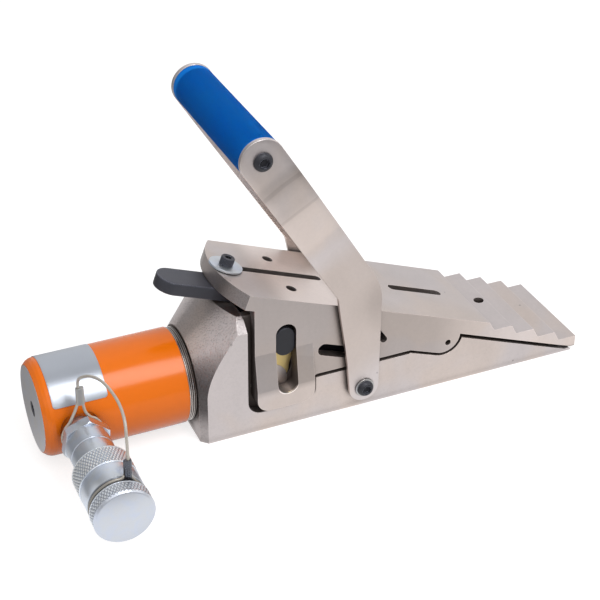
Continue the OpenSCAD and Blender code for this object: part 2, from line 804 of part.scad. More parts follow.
module tail_fixings() {
    color([0.18, 0.18, 0.2]) for (s = fixing_s) on_slope() translate([s, 0, -tail_top - tail_t]) {
        translate([0, 0, -fixing_in]) cylinder(h = fixing_in + 3.5, r = screw_r - 0.03);
        difference() {
            translate([0, 0, 3]) cylinder(h = 4.7, r = 4.2);
            translate([0, 0, 5.4]) cylinder(h = 4, r = 2.3, $fn = 6);
        }
    }
}

module penny_washer() {
    color([0.7, 0.75, 0.8]) on_slope() translate([screw_s, 0, slide_gap]) difference() {
        cylinder(h = 1.5, r = washer_r);
        translate([0, 0, -1]) cylinder(h = 4, r = screw_r + 0.1);
    }
}

module tail_screw() {
    color([0.12, 0.12, 0.13]) on_slope() translate([screw_s, 0, slide_gap + 1.5]) {
        difference() {
            cylinder(h = 5, r = 4.25);
            translate([0, 0, 2.4]) cylinder(h = 4, r = 2.3, $fn = 6);
        }
        translate([0, 0, -19]) cylinder(h = 19.1, r = screw_r - 0.03);
    }
}

// jaw
// Side outline of the jaw: walls, nose with its level treads, and the plate's rear end
module jaw_outline() {
    steps = [for (k = [0:treads - 1]) each [
        [(k == 0 ? slope_end : tread_x(k - 1)) + riser_run, tread_z(k)], [tread_x(k), tread_z(k)]
    ]];
    polygon(concat(
        [slope_pt(-rear_bulge - 1, 0), [slope_end, top_z(slope_end)]],
        steps,
        [
            [jaw_len, tip_under], [jaw_len - tip_flat, tip_under], [nose_x, nose_z],
            [nose_x, lobe_z - 0.5], [lobe_x + 2, lobe_z], [lobe_x - lobe_r, skirt_z],
            [leg_x, skirt_z], [leg_x, off_z(leg_x, plate_t)], slope_pt(-rear_bulge - 1, -plate_t)
        ]
    ));
    translate([lobe_x, lobe_z]) circle(r = lobe_r);
    polygon([
        [lobe_x - lobe_r * sin(incline), lobe_z - lobe_r * cos(incline)], [lobe_x, lobe_z],
        [lobe_x - 30, skirt_z + 3],
        [lobe_x - (skirt_z - lobe_z + lobe_r / cos(incline)) / tan_i, skirt_z]
    ]);
    difference() {
        translate([leg_end - 1, skirt_z - 4]) square([5, 5]);
        translate([leg_end + 4, skirt_z - 4]) circle(r = 4);
    }
}

// Space between the jaw's side walls, under its plate
module jaw_hollow() {
    inner = half_w - jaw_wall;
    side_plate(-inner, inner) polygon([
        [leg_x - 1, 0], [cavity_end, 0], [cavity_end, off_z(cavity_end, plate_t)],
        [leg_x, off_z(leg_x, plate_t)], [leg_x - 1, skirt_z]
    ]);
}

// Leg that runs down into the base; its foot stands out of the side
module leg() {
    inner = half_w - jaw_wall;
    intersection() {
        side_plate(inner, half_w + foot_out)
            round_foot(leg_x, leg_end, foot_z, skirt_z + 40, pocket_r - 0.5);
        cross_bar(leg_x - 1, leg_end + 1) polygon([
            [inner, foot_z - 1], [half_w + foot_out, foot_z - 1], [half_w + foot_out, foot_flat_z],
            [half_w, foot_top_z], [half_w, skirt_z + 40], [inner, skirt_z + 40]
        ]);
    }
}

module jaw() {
    inner = half_w - jaw_wall;
    color([0.76, 0.72, 0.7]) difference() {
        union() {
            difference() {
                side_plate(-half_w, half_w) jaw_outline();
                jaw_hollow();
            }
            both_sides() leg();
        }
        on_slope() translate([0, 0, -plate_t - 1]) linear_extrude(plate_t + 2) {
            difference() {
                translate([-rear_bulge - 2, -half_w - 1]) square([rear_bulge + 3, body_w + 2]);
                translate([rear_r - rear_bulge, 0]) circle(r = rear_r);
            }
            long_hole(slot_from, slot_to, slot_w / 2);
            long_hole(fore_slot_from, fore_slot_to, fore_slot_r);
            for (s = [-1, 1]) translate([tap_s, s * tap_span / 2, 0]) circle(r = tap_r);
        }
        translate([tread_x(0) - tread_tap_in, 0, 0]) cylinder(h = jaw_h, r = tap_r);
        both_sides() {
            side_plate(inner - 1, half_w + foot_out + 1)
                upright_hole(leg_mid, window_low, window_top, window_w / 2);
            side_plate(inner - 1, half_w + 1) {
                translate([side_slot_x, side_slot_z]) rotate(-incline)
                    long_hole(0, side_slot_l, side_slot_r);
                translate([vent_x, vent_z]) rotate(vent_turn) long_hole(0, vent_l, vent_r);
            }
            y_rod(lobe_x + dot_ahead, lobe_z - dot_below, inner - 1, half_w + 1, dot_r);
        }
    }
}

// bail
function arm_shift(t) =
    t < bend_from ? 0
    : t < bend_from + bend_len ? bend_k * pow(t - bend_from, 2) / (2 * bend_len)
    : t < bend_to ? bend_k * (t - bend_from - bend_len / 2)
    : t < bend_to + bend_len ? spread - bend_k * pow(bend_to + bend_len - t, 2) / (2 * bend_len)
    : spread;
// A point of the leaning stretch, from its distance up along it and square to it
function lean_pt(t, n) = [n * cos_l - t * sin_l, n * sin_l + t * cos_l];

// Side outline of an arm: upright below, leaning back above the elbow
module arm_outline() {
    right_n = left_n + arm_w;
    arc_x = elbow_x - elbow_r;
    arc_t = ((right_n - elbow_r) * cos_l - arc_x) / sin_l;
    arc_c = lean_pt(arc_t, right_n - elbow_r);
    corner = lean_pt(45, left_n);
    translate([pivot_x, pivot_z]) circle(r = pivot_r);
    translate([grip_x, grip_z]) circle(r = arm_w / 2);
    polygon(concat(
        [[pivot_x - pivot_r, pivot_z], [elbow_x, pivot_z]],
        arc(arc_c[0], arc_c[1], elbow_r, 0, lean, 8),
        [lean_pt(grip_t, right_n), lean_pt(grip_t, left_n), corner],
        [[pivot_x - 15.8, pivot_z + 46], [pivot_x - 12.5, pivot_z + 24], [pivot_x - 11.2, pivot_z + 12]]
    ));
}

// Run of an arm seen from its edge, bent out at the elbow and back near the grip
module arm_run() {
    stops = concat([-80], [for (i = [0:5]) bend_from + bend_len * i / 5],
        [for (i = [0:5]) bend_to + bend_len * i / 5], [grip_t + 40]);
    inner = [for (t = stops) [t, arm_in + arm_shift(t)]];
    n = len(stops);
    outer = [for (i = [n - 1:-1:0]) [stops[i], arm_in + arm_t + arm_shift(stops[i])]];
    polygon(concat(inner, outer));
}

module bail_arm() {
    difference() {
        intersection() {
            side_plate(half_w, grip_end_y + 10) arm_outline();
            rotate([0, -90 - lean, 0]) translate([0, 0, -180]) linear_extrude(170) arm_run();
        }
        y_rod(pivot_x, pivot_z, half_w, arm_in + 20, pivot_r / 2);
        y_rod(grip_x, grip_z, arm_in, grip_end_y + 20, m6_r + 0.1);
    }
}

module bail_arm_near() {
    color([0.8, 0.77, 0.75]) mirror([0, 1, 0]) bail_arm();
}

module bail_arm_far() {
    color([0.8, 0.77, 0.75]) bail_arm();
}

module grip_tube() {
    color([0.05, 0.35, 0.66]) difference() {
        y_rod(grip_x, grip_z, -grip_end_y + 0.1, grip_end_y - 0.1, grip_r);
        y_rod(grip_x, grip_z, -grip_end_y - 1, grip_end_y + 1, core_r + 0.05);
    }
}

module grip_core() {
    color([0.6, 0.6, 0.6]) difference() {
        y_rod(grip_x, grip_z, -grip_end_y, grip_end_y, core_r);
        both_sides() y_rod(grip_x, grip_z, grip_end_y - core_tap, grip_end_y + 1, m6_r);
    }
}

module grip_screw() {
    translate([grip_x, grip_end_y + arm_t, grip_z]) rotate([-90, 0, 0])
        button_screw(5.6, 3.3, m6_r - 0.04, 16);
}

module grip_screw_far() {
    color([0.18, 0.18, 0.2]) grip_screw();
}

module grip_screw_near() {
    color([0.18, 0.18, 0.2]) mirror([0, 1, 0]) grip_screw();
}

base_body();
key_near();
key_far();
barrel();
end_disc();
end_plug();
lock_ring();
rod_guide();
rod_seal();
label_plate();
inlet_adapter();
coupler_body();
coupler_valve();
coupler_seal();
crimp_upper();
ferrule_lower();
lanyard();
pivot_bush_near();
pivot_bush_far();
pivot_washer_near();
pivot_washer_far();
pivot_screw_near();
pivot_screw_far();
coupler_sleeve();
dust_cap();
piston();
piston_seal();
piston_rod();
return_spring();
drive_wedge();
cross_pin();
pin_disc_near();
pin_disc_far();
tail_bar();
tail_fixings();
penny_washer();
tail_screw();
jaw();
bail_arm_near();
bail_arm_far();
grip_tube();
grip_core();
grip_screw_near();
grip_screw_far();
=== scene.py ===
"""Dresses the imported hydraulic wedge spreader: finishes, turned and knurled pieces, wire lanyard, stage."""
import math

import bmesh
import bpy
import numpy as np
from mathutils import Matrix, Vector


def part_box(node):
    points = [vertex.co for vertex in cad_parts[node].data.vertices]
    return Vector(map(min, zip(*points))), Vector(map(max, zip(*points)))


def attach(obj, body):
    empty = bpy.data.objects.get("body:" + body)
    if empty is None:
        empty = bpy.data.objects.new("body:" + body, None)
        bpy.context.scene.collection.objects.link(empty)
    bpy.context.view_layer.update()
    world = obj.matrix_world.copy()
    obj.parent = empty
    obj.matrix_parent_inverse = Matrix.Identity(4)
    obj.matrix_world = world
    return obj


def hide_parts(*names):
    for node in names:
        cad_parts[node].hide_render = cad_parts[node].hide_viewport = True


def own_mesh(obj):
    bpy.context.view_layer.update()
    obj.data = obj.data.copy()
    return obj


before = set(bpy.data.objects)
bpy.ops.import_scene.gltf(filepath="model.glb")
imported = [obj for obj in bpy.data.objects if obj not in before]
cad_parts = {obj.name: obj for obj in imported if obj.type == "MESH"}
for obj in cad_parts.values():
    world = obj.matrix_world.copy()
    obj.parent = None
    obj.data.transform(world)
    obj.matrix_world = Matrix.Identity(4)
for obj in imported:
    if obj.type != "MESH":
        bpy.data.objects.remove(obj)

bl_info = {
    "name": "Wedge Spreader Dressing",
    "version": (1, 0, 0),
    "blender": (4, 5, 0),
    "location": "View3D > Sidebar > Spreader",
    "description": "Builds the visible pieces and finishes of a hydraulic wedge spreader round its CAD frame",
    "category": "Object",
}

MM = 0.001
TAU = 2 * math.pi
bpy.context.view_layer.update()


def span(node, axis):
    """Lowest and highest place of a CAD node along one axis, in metres."""
    low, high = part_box(node)
    return low[axis], high[axis]


def middle(node, axis):
    """Middle of a CAD node along one axis."""
    return sum(span(node, axis)) / 2


def half_span(node, axis):
    """Half the length of a CAD node along one axis."""
    low, high = span(node, axis)
    return (high - low) / 2


# Lines that the CAD nodes share: the cylinder's height, the places of coupler, pivot and grip, the slope of
# the jaw's top with its height over the frame's zero, and the lean of the bail at rest
AXIS_Z = middle("end_disc", 2)
INLET_X = middle("coupler_sleeve", 0)
PIVOT = (middle("pivot_screw_near", 0), middle("pivot_screw_near", 2))
GRIP = (middle("grip_screw_near", 0), middle("grip_screw_near", 2))
SLOPE = math.radians(20.5)
SLOPE_TOP = 99.4 * MM
LEAN = math.radians(32.3)
SIDES = (("near", -1), ("far", 1))
# The round foot of the jaw's window, in millimetres
WINDOW_FOOT, WINDOW_R = (22.0, 33.05), 6.65
# Where the leg's dressed corner begins, in millimetres: height plus fall times the distance forward
DRESSED, DRESSED_FALL = 59.4, 0.31
# Pitch of the lock ring's bright crest lines, painted highlights, and of the turning rings on plated pieces
THREAD_PITCH, RING_PITCH = 1.15 * MM, 0.32 * MM
# The wire's strands, and the length for which they set how steeply they wind
STRANDS, LAY_LENGTH = 6, 7 * MM
# Distance between the close rows of a knurl, in millimetres, and the length over which it fades out
KNURL_ROW, KNURL_FADE = 0.192, 0.5 * MM
# Painted shade, tinted like dirt, in the gaps of warm and of bright plating, metal under chipped paint, scuffs
# on the grip, painted shade tinted like oil between the thread's bright lines
OILY_SHADE, DUSTY_SHADE, CHIPPED = (0.040, 0.024, 0.017), (0.040, 0.048, 0.070), (0.34, 0.30, 0.27)
SCUFFED, THREAD_OIL_SHADE = (0.012, 0.24, 0.66), (0.035, 0.022, 0.018)


def length_prop(name, description, default):
    """A size, given in millimetres, that the panel shows with its unit."""
    return bpy.props.FloatProperty(
        name=name, description=description, default=default * MM, min=0.0, max=0.5,
        precision=5, unit="LENGTH", subtype="DISTANCE",
    )


def colour_prop(name, description, default):
    """A linear colour without alpha."""
    return bpy.props.FloatVectorProperty(
        name=name, description=description, default=default, size=3, min=0.0, max=1.0, subtype="COLOR",
    )


class SpreaderSizes(bpy.types.PropertyGroup):
    """Sizes of the pieces that are built here."""

    knurl_pitch: length_prop("Knurl pitch", "Distance between two knurl grooves, round the sleeve", 2.05)
    knurl_depth: length_prop("Knurl depth", "Depth of the knurl grooves", 0.45)
    wire_diameter: length_prop("Wire diameter", "Thickness of the coated lanyard wire", 1.8)
    strand_depth: length_prop("Strand depth", "How deep the wire's strands show in its coat", 0.05)
    arm_ease: length_prop("Arm edge radius", "Rounding along the edges of the bail's arms", 0.45)
    bar_ease: length_prop("Bar edge radius", "Rounding along the edges of the tail bar and keys", 0.6)
    grip_ease: length_prop("Grip edge radius", "Rounding at the ends of the grip", 0.5)
    label_corner: length_prop("Plate corner radius", "Corner radius of the bare plate on the barrel", 2.0)
    # Width of the painted highlight that lightens the colour along sharp edges of the nickel and the bright
    # plating
    edge_highlight_width: length_prop("Worn edge width", "How far the bright wear reaches in from an edge", 0.8)


class SpreaderColours(bpy.types.PropertyGroup):
    """Colours of the finishes."""

    nickel: colour_prop("Nickel plating", "Warm plating of base, jaw and bail", (0.60, 0.548, 0.545))
    paint: colour_prop("Paint", "Gloss paint of the barrel", (0.92, 0.185, 0.002))
    grip: colour_prop("Grip", "Sleeve of the carrying grip", (0.001, 0.190, 0.72))
    oxide: colour_prop("Black oxide", "Blackened steel of bar, keys and screws", (0.036, 0.037, 0.046))
    zinc: colour_prop("Zinc", "Plating of coupler and sleeve", (0.71, 0.75, 0.81))
    cap: colour_prop("Cap", "Bare alloy of the dust cap", (0.71, 0.74, 0.80))
    bare: colour_prop("Bare steel", "Turned steel of the end disc", (0.50, 0.49, 0.48))
    foil: colour_prop("Foil", "Bare plate on the barrel", (0.50, 0.53, 0.59))
    coat: colour_prop("Wire coat", "Coat over the wire", (0.56, 0.52, 0.46))
    chromate: colour_prop("Chromate", "Yellow plating seen in the window", (0.74, 0.57, 0.25))


class Field:
    """One socket of a material, on which + - * ** and abs add Math nodes."""

    def __init__(self, finish, socket):
        self.finish, self.socket = finish, socket

    def op(self, name, *values, clamp=False):
        """One Math node."""
        return self.finish.node("ShaderNodeMath", dict(enumerate(values)), operation=name, use_clamp=clamp)

    def __add__(self, other):
        return self.op("ADD", self, other)

    __radd__ = __add__

    def __sub__(self, other):
        return self.op("SUBTRACT", self, other)

    def __rsub__(self, other):
        return self.op("SUBTRACT", other, self)

    def __mul__(self, other):
        return self.op("MULTIPLY", self, other)

    __rmul__ = __mul__

    def __neg__(self):
        return self * -1

    def __abs__(self):
        return self.op("ABSOLUTE", self)

    def __pow__(self, other):
        return self.op("POWER", self, other)

    def wave(self):
        return self.op("SINE", self)

    def cut(self):
        """Kept between 0 and 1."""
        return self.op("ADD", self, 0.0, clamp=True)

    def step(self, low, high):
        """Smooth rise from 0 at low to 1 at high; with the greater number first, a fall from 1 to 0."""
        sockets = {0: self, 1: low, 2: high, 3: 0.0, 4: 1.0}
        return self.finish.node("ShaderNodeMapRange", sockets, interpolation_type="SMOOTHSTEP")

    def band(self, low, high, soft):
        """1 between low and high, with soft ends."""
        return self.step(low - soft, low) * self.step(high + soft, high)


class Finish:
    """A material, or the world, whose nodes are added one call at a time."""

    def __init__(self, tree):
        self.tree = tree
        tree.nodes.clear()

    @classmethod
    def material(cls, name):
        """A new, empty material."""
        made = bpy.data.materials.new(name)
        made.use_nodes = True
        finish = cls(made.node_tree)
        finish.made = made
        return finish

    def node(self, kind, sockets=None, out=0, **settings):
        """Adds a node, sets its settings and then its sockets, and gives one of its outputs."""
        node = self.tree.nodes.new(kind)
        for key, value in settings.items():
            setattr(node, key, value)
        for key, value in (sockets or {}).items():
            if isinstance(value, Field):
                self.tree.links.new(value.socket, node.inputs[key])
            elif value is not None:
                node.inputs[key].default_value = value
        return Field(self, node.outputs[out]) if node.outputs else None

    def place(self, stretch=(1, 1, 1), turn=(0, 0, 0)):
        """Object coordinates in metres, turned and stretched for a pattern."""
        coords = self.node("ShaderNodeTexCoord", out="Object")
        return self.node("ShaderNodeMapping", {0: coords, 2: turn, 3: stretch})

    def part(self, vector, axis):
        """One of the three numbers of a vector."""
        return self.node("ShaderNodeSeparateXYZ", {0: vector}, axis)

    def millimetres(self):
        """The three object coordinates, in millimetres."""
        place = self.place(stretch=(1000, 1000, 1000))
        return [self.part(place, axis) for axis in range(3)]

    def facing(self, axis):
        """How far the true surface looks along an axis, from -1 to 1."""
        return self.part(self.node("ShaderNodeNewGeometry", out="Normal"), axis)

    def openness(self, reach, normal=None):
        """1 in the open, towards 0 deep in gaps and corners narrower than reach."""
        sockets = {"Distance": reach, "Normal": normal}
        return self.node("ShaderNodeAmbientOcclusion", sockets, "AO", samples=8)

    def away(self, x, z):
        """Distance from a point of the side view, in millimetres."""
        across, _, up = self.millimetres()
        across, up = across - x, up - z
        return (across * across + up * up) ** 0.5

    def rays(self, *kinds):
        """1 for what rays of these kinds see."""
        return sum(self.node("ShaderNodeLightPath", out=f"Is {kind} Ray") for kind in kinds).cut()

    def toward(self, vector, aim):
        """How closely a direction looks towards another, 1 when it does."""
        return self.node("ShaderNodeVectorMath", {0: vector, 1: aim}, "Value", operation="DOT_PRODUCT")

    def noise(self, where, scale, detail=2.0, rough=0.5, warp=0.0):
        """Soft clouds round 0.5, finer with a greater scale."""
        sockets = {"Vector": where, "Scale": scale, "Detail": detail, "Roughness": rough, "Distortion": warp}
        return self.node("ShaderNodeTexNoise", sockets)

    def cells(self, where, scale):
        """Distance to the nearest of many scattered points."""
        return self.node("ShaderNodeTexVoronoi", {"Vector": where, "Scale": scale, "Randomness": 1.0})

    def blend(self, share, first, second):
        """Mixes two colours."""
        first, second = (c if isinstance(c, Field) else (*c, 1.0) for c in (first, second))
        return self.node("ShaderNodeMix", {0: share, 6: first, 7: second}, 2, data_type="RGBA")

    def shade(self, colour, amount):
        """A colour made lighter or darker by a number that varies over the surface."""
        return self.node("ShaderNodeVectorMath", {0: colour, "Scale": amount}, operation="SCALE")

    def rounded(self, radius):
        """Normal that runs softly over the sharp edges of a CAD solid."""
        return self.node("ShaderNodeBevel", {"Radius": radius}, samples=6)

    def edge_mask(self, normal):
        """1 along sharp edges, 0 on flat ground: how far the soft normal leaves the true one."""
        return (1 - self.toward(normal, self.node("ShaderNodeNewGeometry", out="Normal"))).step(0.004, 0.07)

    def bump(self, height, strength, distance, normal=None):
        """Normal of a surface that a height between 0 and 1 roughens."""
        sockets = {"Strength": strength, "Distance": distance, "Height": height, "Normal": normal}
        return self.node("ShaderNodeBump", sockets)

    def surface(self, colour, metallic, roughness, normal, **more):
        """Closes the material with one Principled shader."""
        sockets = {"Base Color": colour, "Metallic": metallic, "Roughness": roughness, "Normal": normal}
        sockets.update((key.replace("_", " "), value) for key, value in more.items())
        self.node("ShaderNodeOutputMaterial", {"Surface": self.node("ShaderNodeBsdfPrincipled", sockets)})


def tinted(colour, factors):
    """A plain colour with a factor on each of its three numbers."""
    return tuple(c * k for c, k in zip(colour, factors))


def nickel(name, sizes, colours, zones, grain=0.5, flow=(0, 0, 0), cast=0.0, edge=True):
    """Satin nickel over steel: soft smears, fine grain, small dark pits, a painted highlight along the edges
    and painted brown shade in the gaps;
    cast adds coarse grit, and zones gives tone and warmth, much of it painted light and reflection, painted
    shade, and grit from the place on the piece."""
    f = Finish.material(name)
    where = f.place()
    smear = f.noise(f.place((1, 1, 0.35), flow), 38, 3, 0.55, 0.6)
    tint = f.noise(f.place((1, 0.6, 1), flow), 21, 2, 0.5, 0.3)
    mottle = f.noise(where, 420, 3, 0.6)
    fine = f.noise(where, 2300, 2, 0.6)
    pits = f.cells(where, 62).step(0.075, 0.03) + f.noise(where, 150, 2, 0.5).step(0.50, 0.42)
    pits = pits.step(1.7, 1.2)
    tone, warmth, soot_shade, grit = zones(f)
    above = f.millimetres()[2].step(0.3, 4)
    # Painted shade: the colour darkens towards a brown, grime-like tone in gaps and corners above the floor,
    # and wherever the zones add painted shade
    grime_and_shade = (f.openness(8 * MM, f.rounded(1.3 * MM)).step(0.86, 0.25) * above + soot_shade).cut()
    # Painted highlight: the colour lightens along sharp edges
    light = f.edge_mask(f.rounded(sizes.edge_highlight_width)) * (1 - grime_and_shade) if edge else 0.0
    warm = f.blend(
        (tint.step(0.44, 0.68) + warmth).cut(), colours.nickel, tinted(colours.nickel, (1.04, 0.99, 0.925))
    )
    level = 0.83 + smear * 0.24 + mottle * 0.12 - (1 - pits) * 0.35
    height = mottle * 0.5 + fine * 0.5 + pits * 0.6
    if cast:
        cast = grit * cast
        level = level - f.noise(where, 900, 2, 0.7).step(0.5, 0.36) * 0.10 * cast
        height = height + f.cells(where, 760).step(0.0, 0.55) * cast
    level = level * tone + light * 0.30
    f.surface(
        f.blend(grime_and_shade * 0.92, f.shade(warm, level), OILY_SHADE), 1 - grime_and_shade * 0.6,
        0.27 + smear * 0.12 + mottle * 0.08 + cast * 0.07 - light * 0.06 + grime_and_shade * 0.2,
        f.bump(height, 0.2 + 0.3 * grain + 0.3 * cast, 0.05 * MM * (1 + 1.2 * cast), f.rounded(0.3 * MM)),
    )


def jaw_zones(f):
    """The blasted upper leg and side are darker, the ground foot and nose lighter; the sloping shoulder of the
    foot has painted shade, deepest below the dressed corner, the rear edge, facing away from the light, has
    painted shade in blotches, the window has painted shade on its walls and a painted highlight on its lower
    rim, and a band of the top carries a warm painted reflection of the far arm."""
    x, y, z = f.millimetres()
    back, out, up, depth = -f.facing(0), abs(f.facing(1)), f.facing(2), abs(y)
    sides, top = out.step(0.5, 0.8), up.step(0.85, 0.95)
    blasted = x.step(195, 110) * x.op("MAXIMUM", z.step(26, 32), x.step(50, 60))
    dressed = (x * DRESSED_FALL + z).step(DRESSED - 0.2, DRESSED + 0.2)
    # Painted shade on the foot's sloping shoulder: deeper below the dressed corner, slight above it, where it
    # tones down the facet's highlight
    shoulder = up.band(0.2, 0.5, 0.15) * x.step(70, 60) * out.step(0.3, 0.6)
    # The rear edge faces away from the light: painted shade
    rear = back.step(0.4, 0.8) * z.step(84, 88) * out.step(0.08, 0.28)
    # Painted highlight on the window's lower rim
    rim = f.away(*WINDOW_FOOT).band(WINDOW_R - 0.2, WINDOW_R + 0.5, 0.3)
    rim = rim * z.step(31, 28) * depth.step(37.4, 38.2)
    # Painted shade on the window's inner walls
    window_wall_shade = out.step(0.4, 0.2) * x.band(14, 30, 1) * depth.step(27, 28) * (1 - rim) * z.step(74, 72)
    tone = 1 - sides * blasted * 0.28 - shoulder * (1 - dressed) * 0.07 - shoulder * dressed * 0.02
    # Painted light: a band of the top is lightened where the far arm's reflection falls
    tone = tone - rear * 0.38 + sides * x.step(118, 150) * 0.12 + rim * 0.7 + top * x.band(28, 54, 14) * 0.34
    # Painted reflection: that band of the top is warmed like the far arm
    warmth = top * x.band(20, 80, 16) * 0.7 + sides * 0.5 - shoulder * 0.3
    # Painted shade in blotches over the rear edge
    soot_shade = rear * f.noise(f.place(), 1400, 3, 0.7).step(0.45, 0.62) * 0.35
    return tone, warmth, soot_shade + window_wall_shade * (0.42 + back.step(0.3, 0.9) * 0.45), 1.0


def base_zones(f):
    """Gritty cast faces at the rear of the block have painted light: they run from dark to bright and back as
    they turn to the side, and painted shade darkens them downwards; the inner cheeks, seen through the jaw's
    window, have painted shade, and so has the seam ahead of each foot, and the upward corner facet is painted
    darker against its highlight."""
    x, y, z = f.millimetres()
    rear, turn, side = (-f.facing(0)).step(0.25, 0.6), abs(f.facing(1)), abs(y)
    # Painted light: the rear faces' tone rises and falls as they turn from the rear to the side
    shine = turn.band(0.30, 0.46, 0.16) * 0.26 - turn.band(0.54, 0.75, 0.10) * 0.24
    shine = shine - turn.band(0.0, 0.13, 0.08) * 0.16
    # Painted shade on the inner cheeks seen through the jaw's window, and on the seam ahead of each foot
    cheek = side.band(22, 28.2, 0.5) * x.band(-3, 41, 1)
    seam_shade = side.step(34, 34.8) * x.band(40.6, 42.0, 0.4) * z.band(22, 32, 5)
    # Painted shade: the rear faces darken downwards and lighten towards the top
    rise = z.step(38, 66) * 0.60 + z.step(26, 8) * 0.55 - 0.56
    # The upward corner facet is painted darker against the lamps' highlight
    facet = f.facing(2).band(0.6, 0.8, 0.08) * turn.step(0.5, 0.62)
    tone = 1 + rear * (shine + rise) - facet * 0.30
    return tone, 0.0, cheek * 0.75 + seam_shade * 0.85, 0.7 + rear * 2.0 + facet


def arm_zones(f):
    """Painted shade in bands across the arm where it was bent, with painted highlights beside and above them,
    and painted shade and a warm painted reflection at the elbow, by the distance up the arm.
    """
    x, _, z = f.millimetres()
    wander = (f.noise(f.place(), 30, 2, 0.5) - 0.5) * 4
    up = z * math.cos(LEAN) - x * math.sin(LEAN) + wander
    # Painted shade in bands across the bends
    bend_shade = sum(up.band(low, high, soft) * depth for low, high, soft, depth in (
        (144.2, 146, 0.9, 0.11), (146, 149, 6, 0.12), (123.4, 124.6, 0.8, 0.11), (125, 129, 7, 0.08),
        (88, 93, 7, 0.04),
    ))
    # Painted highlight in the middle band and above the upper bend; painted shade and a warm painted
    # reflection at the elbow
    elbow, mid, dusk = up.band(0, 62, 26), up.band(96, 122, 4), f.away(86, 78).step(27, 2)
    tone = 1.08 - bend_shade + mid * 0.08 - elbow * 0.15 - dusk * 0.16 + up.step(149, 156) * 0.08
    return tone, elbow * 0.9 + mid * 0.3 + dusk * 0.6, 0.0, 1.0


def oxide(name, colours, painted_light_level=1.0):
    """Black oxide on steel: near black, faintly mottled, with a painted grey highlight along the edges,
    painted lighter where it looks up, and lit or shaded as a whole by a level.
    """
    f = Finish.material(name)
    where = f.place()
    haze = f.noise(where, 90, 3, 0.6, 0.4)
    fine = f.noise(where, 1500, 3, 0.6)
    # Painted highlight: the colour turns grey along the edges
    light = f.edge_mask(f.rounded(1.1 * MM))
    colour = f.blend(light * (0.3 + haze * 0.7), colours.oxide, tinted(colours.oxide, (5.5, 5.5, 5.5)))
    # Painted light: lighter where the surface looks up, and the level given for each piece lights or shades
    # the whole oxide
    level = (0.75 + haze * 0.5 + fine * 0.2) * (f.facing(2).step(0.3, 0.9) * 0.5 + 0.8) * painted_light_level
    f.surface(
        f.shade(colour, level), 0.35, 0.36 + haze * 0.14 + fine * 0.08,
        f.bump(fine + haze * 0.4, 0.22, 0.04 * MM, f.rounded(0.35 * MM)),
    )


def plated(name, sizes, colour, rough, axis, rings=0.0, bands=None, soot_shade=DUSTY_SHADE):
    """Bright plating with a faint haze, fine scratches, painted shade in the gaps, a painted highlight along
    the edges, and turning rings along one axis where asked. bands are two stretches of the coupler, each
    (radius, nearest and farthest distance from the middle) in millimetres: a knurl whose crests have painted
    highlights and whose grooves have painted shade, and a groove with painted shade below its radius."""
    f = Finish.material(name)
    where = f.place()
    haze = f.noise(where, 120, 3, 0.55, 0.5)
    stretch = [3, 3, 3]
    stretch[axis] = 0.15
    scratch = f.noise(f.place(stretch), 900, 2, 0.6)
    height = scratch * 0.5 + f.noise(where, 2600, 2, 0.5) * 0.4
    if rings:
        height = height + (f.part(where, axis) * (TAU / RING_PITCH)).wave() * 0.25 * rings
    # Painted highlight along the edges
    light = f.edge_mask(f.rounded(sizes.edge_highlight_width * 0.6))
    # Painted shade in gaps narrower than the reach
    grime_and_shade, crest = f.openness(2.5 * MM).step(0.75, 0.15), 0.0
    if bands:
        (radius, start, end), (rim, near, far) = bands
        out, depth = -f.millimetres()[1], sizes.knurl_depth / MM
        away = f.away(INLET_X / MM, AXIS_Z / MM)
        # Painted shade in the knurl's grooves and a painted highlight on its crests
        groove = away.step(radius - depth * 0.35, radius - depth * 0.9)
        knurled_part = out.band(start, end, 0.2)
        crest = (1 - groove) * knurled_part * 0.34
        grime_and_shade = grime_and_shade + groove * knurled_part * 0.46
        # Painted shade in the groove below its radius
        grime_and_shade = grime_and_shade + away.step(rim, rim - 0.4) * out.band(near, far, 0.1) * 0.9
    grime_and_shade = grime_and_shade.cut()
    level = 0.9 + haze * 0.12 + light * 0.2 + crest - scratch.step(0.62, 0.75) * 0.06
    clean = f.shade(f.blend(haze.step(0.35, 0.7), colour, tinted(colour, (0.94, 0.97, 1.04))), level)
    f.surface(
        f.blend(grime_and_shade * 0.85, clean, soot_shade), 1 - grime_and_shade * 0.4, rough + haze * 0.12 + scratch * 0.05,
        f.bump(height, 0.15, 0.03 * MM, f.rounded(0.25 * MM)),
    )


def threaded(name, colours):
    """Turned thread: bright crests, partly wear and partly painted highlight, over flanks with painted shade
    tinted like oil, in lines that run round the cylinder.
    """
    f = Finish.material(name)
    along = f.part(f.place(), 0) - span("lock_ring", 0)[0]
    streak = f.noise(f.place((1, 0.06, 0.06)), 900, 3, 0.6)
    # Painted highlight on the crest lines; between them the colour falls to the oily painted shade
    crest = ((along * (TAU / THREAD_PITCH)).wave() + streak * 1.8 - 0.9).step(-0.2, 1.0)
    f.surface(
        f.blend(crest, THREAD_OIL_SHADE, tinted(colours.bare, (1.25, 1.17, 1.14))), 0.6 + crest * 0.4,
        0.20 + streak * 0.1, f.bump(crest + streak * 0.4, 0.35, 0.08 * MM),
    )


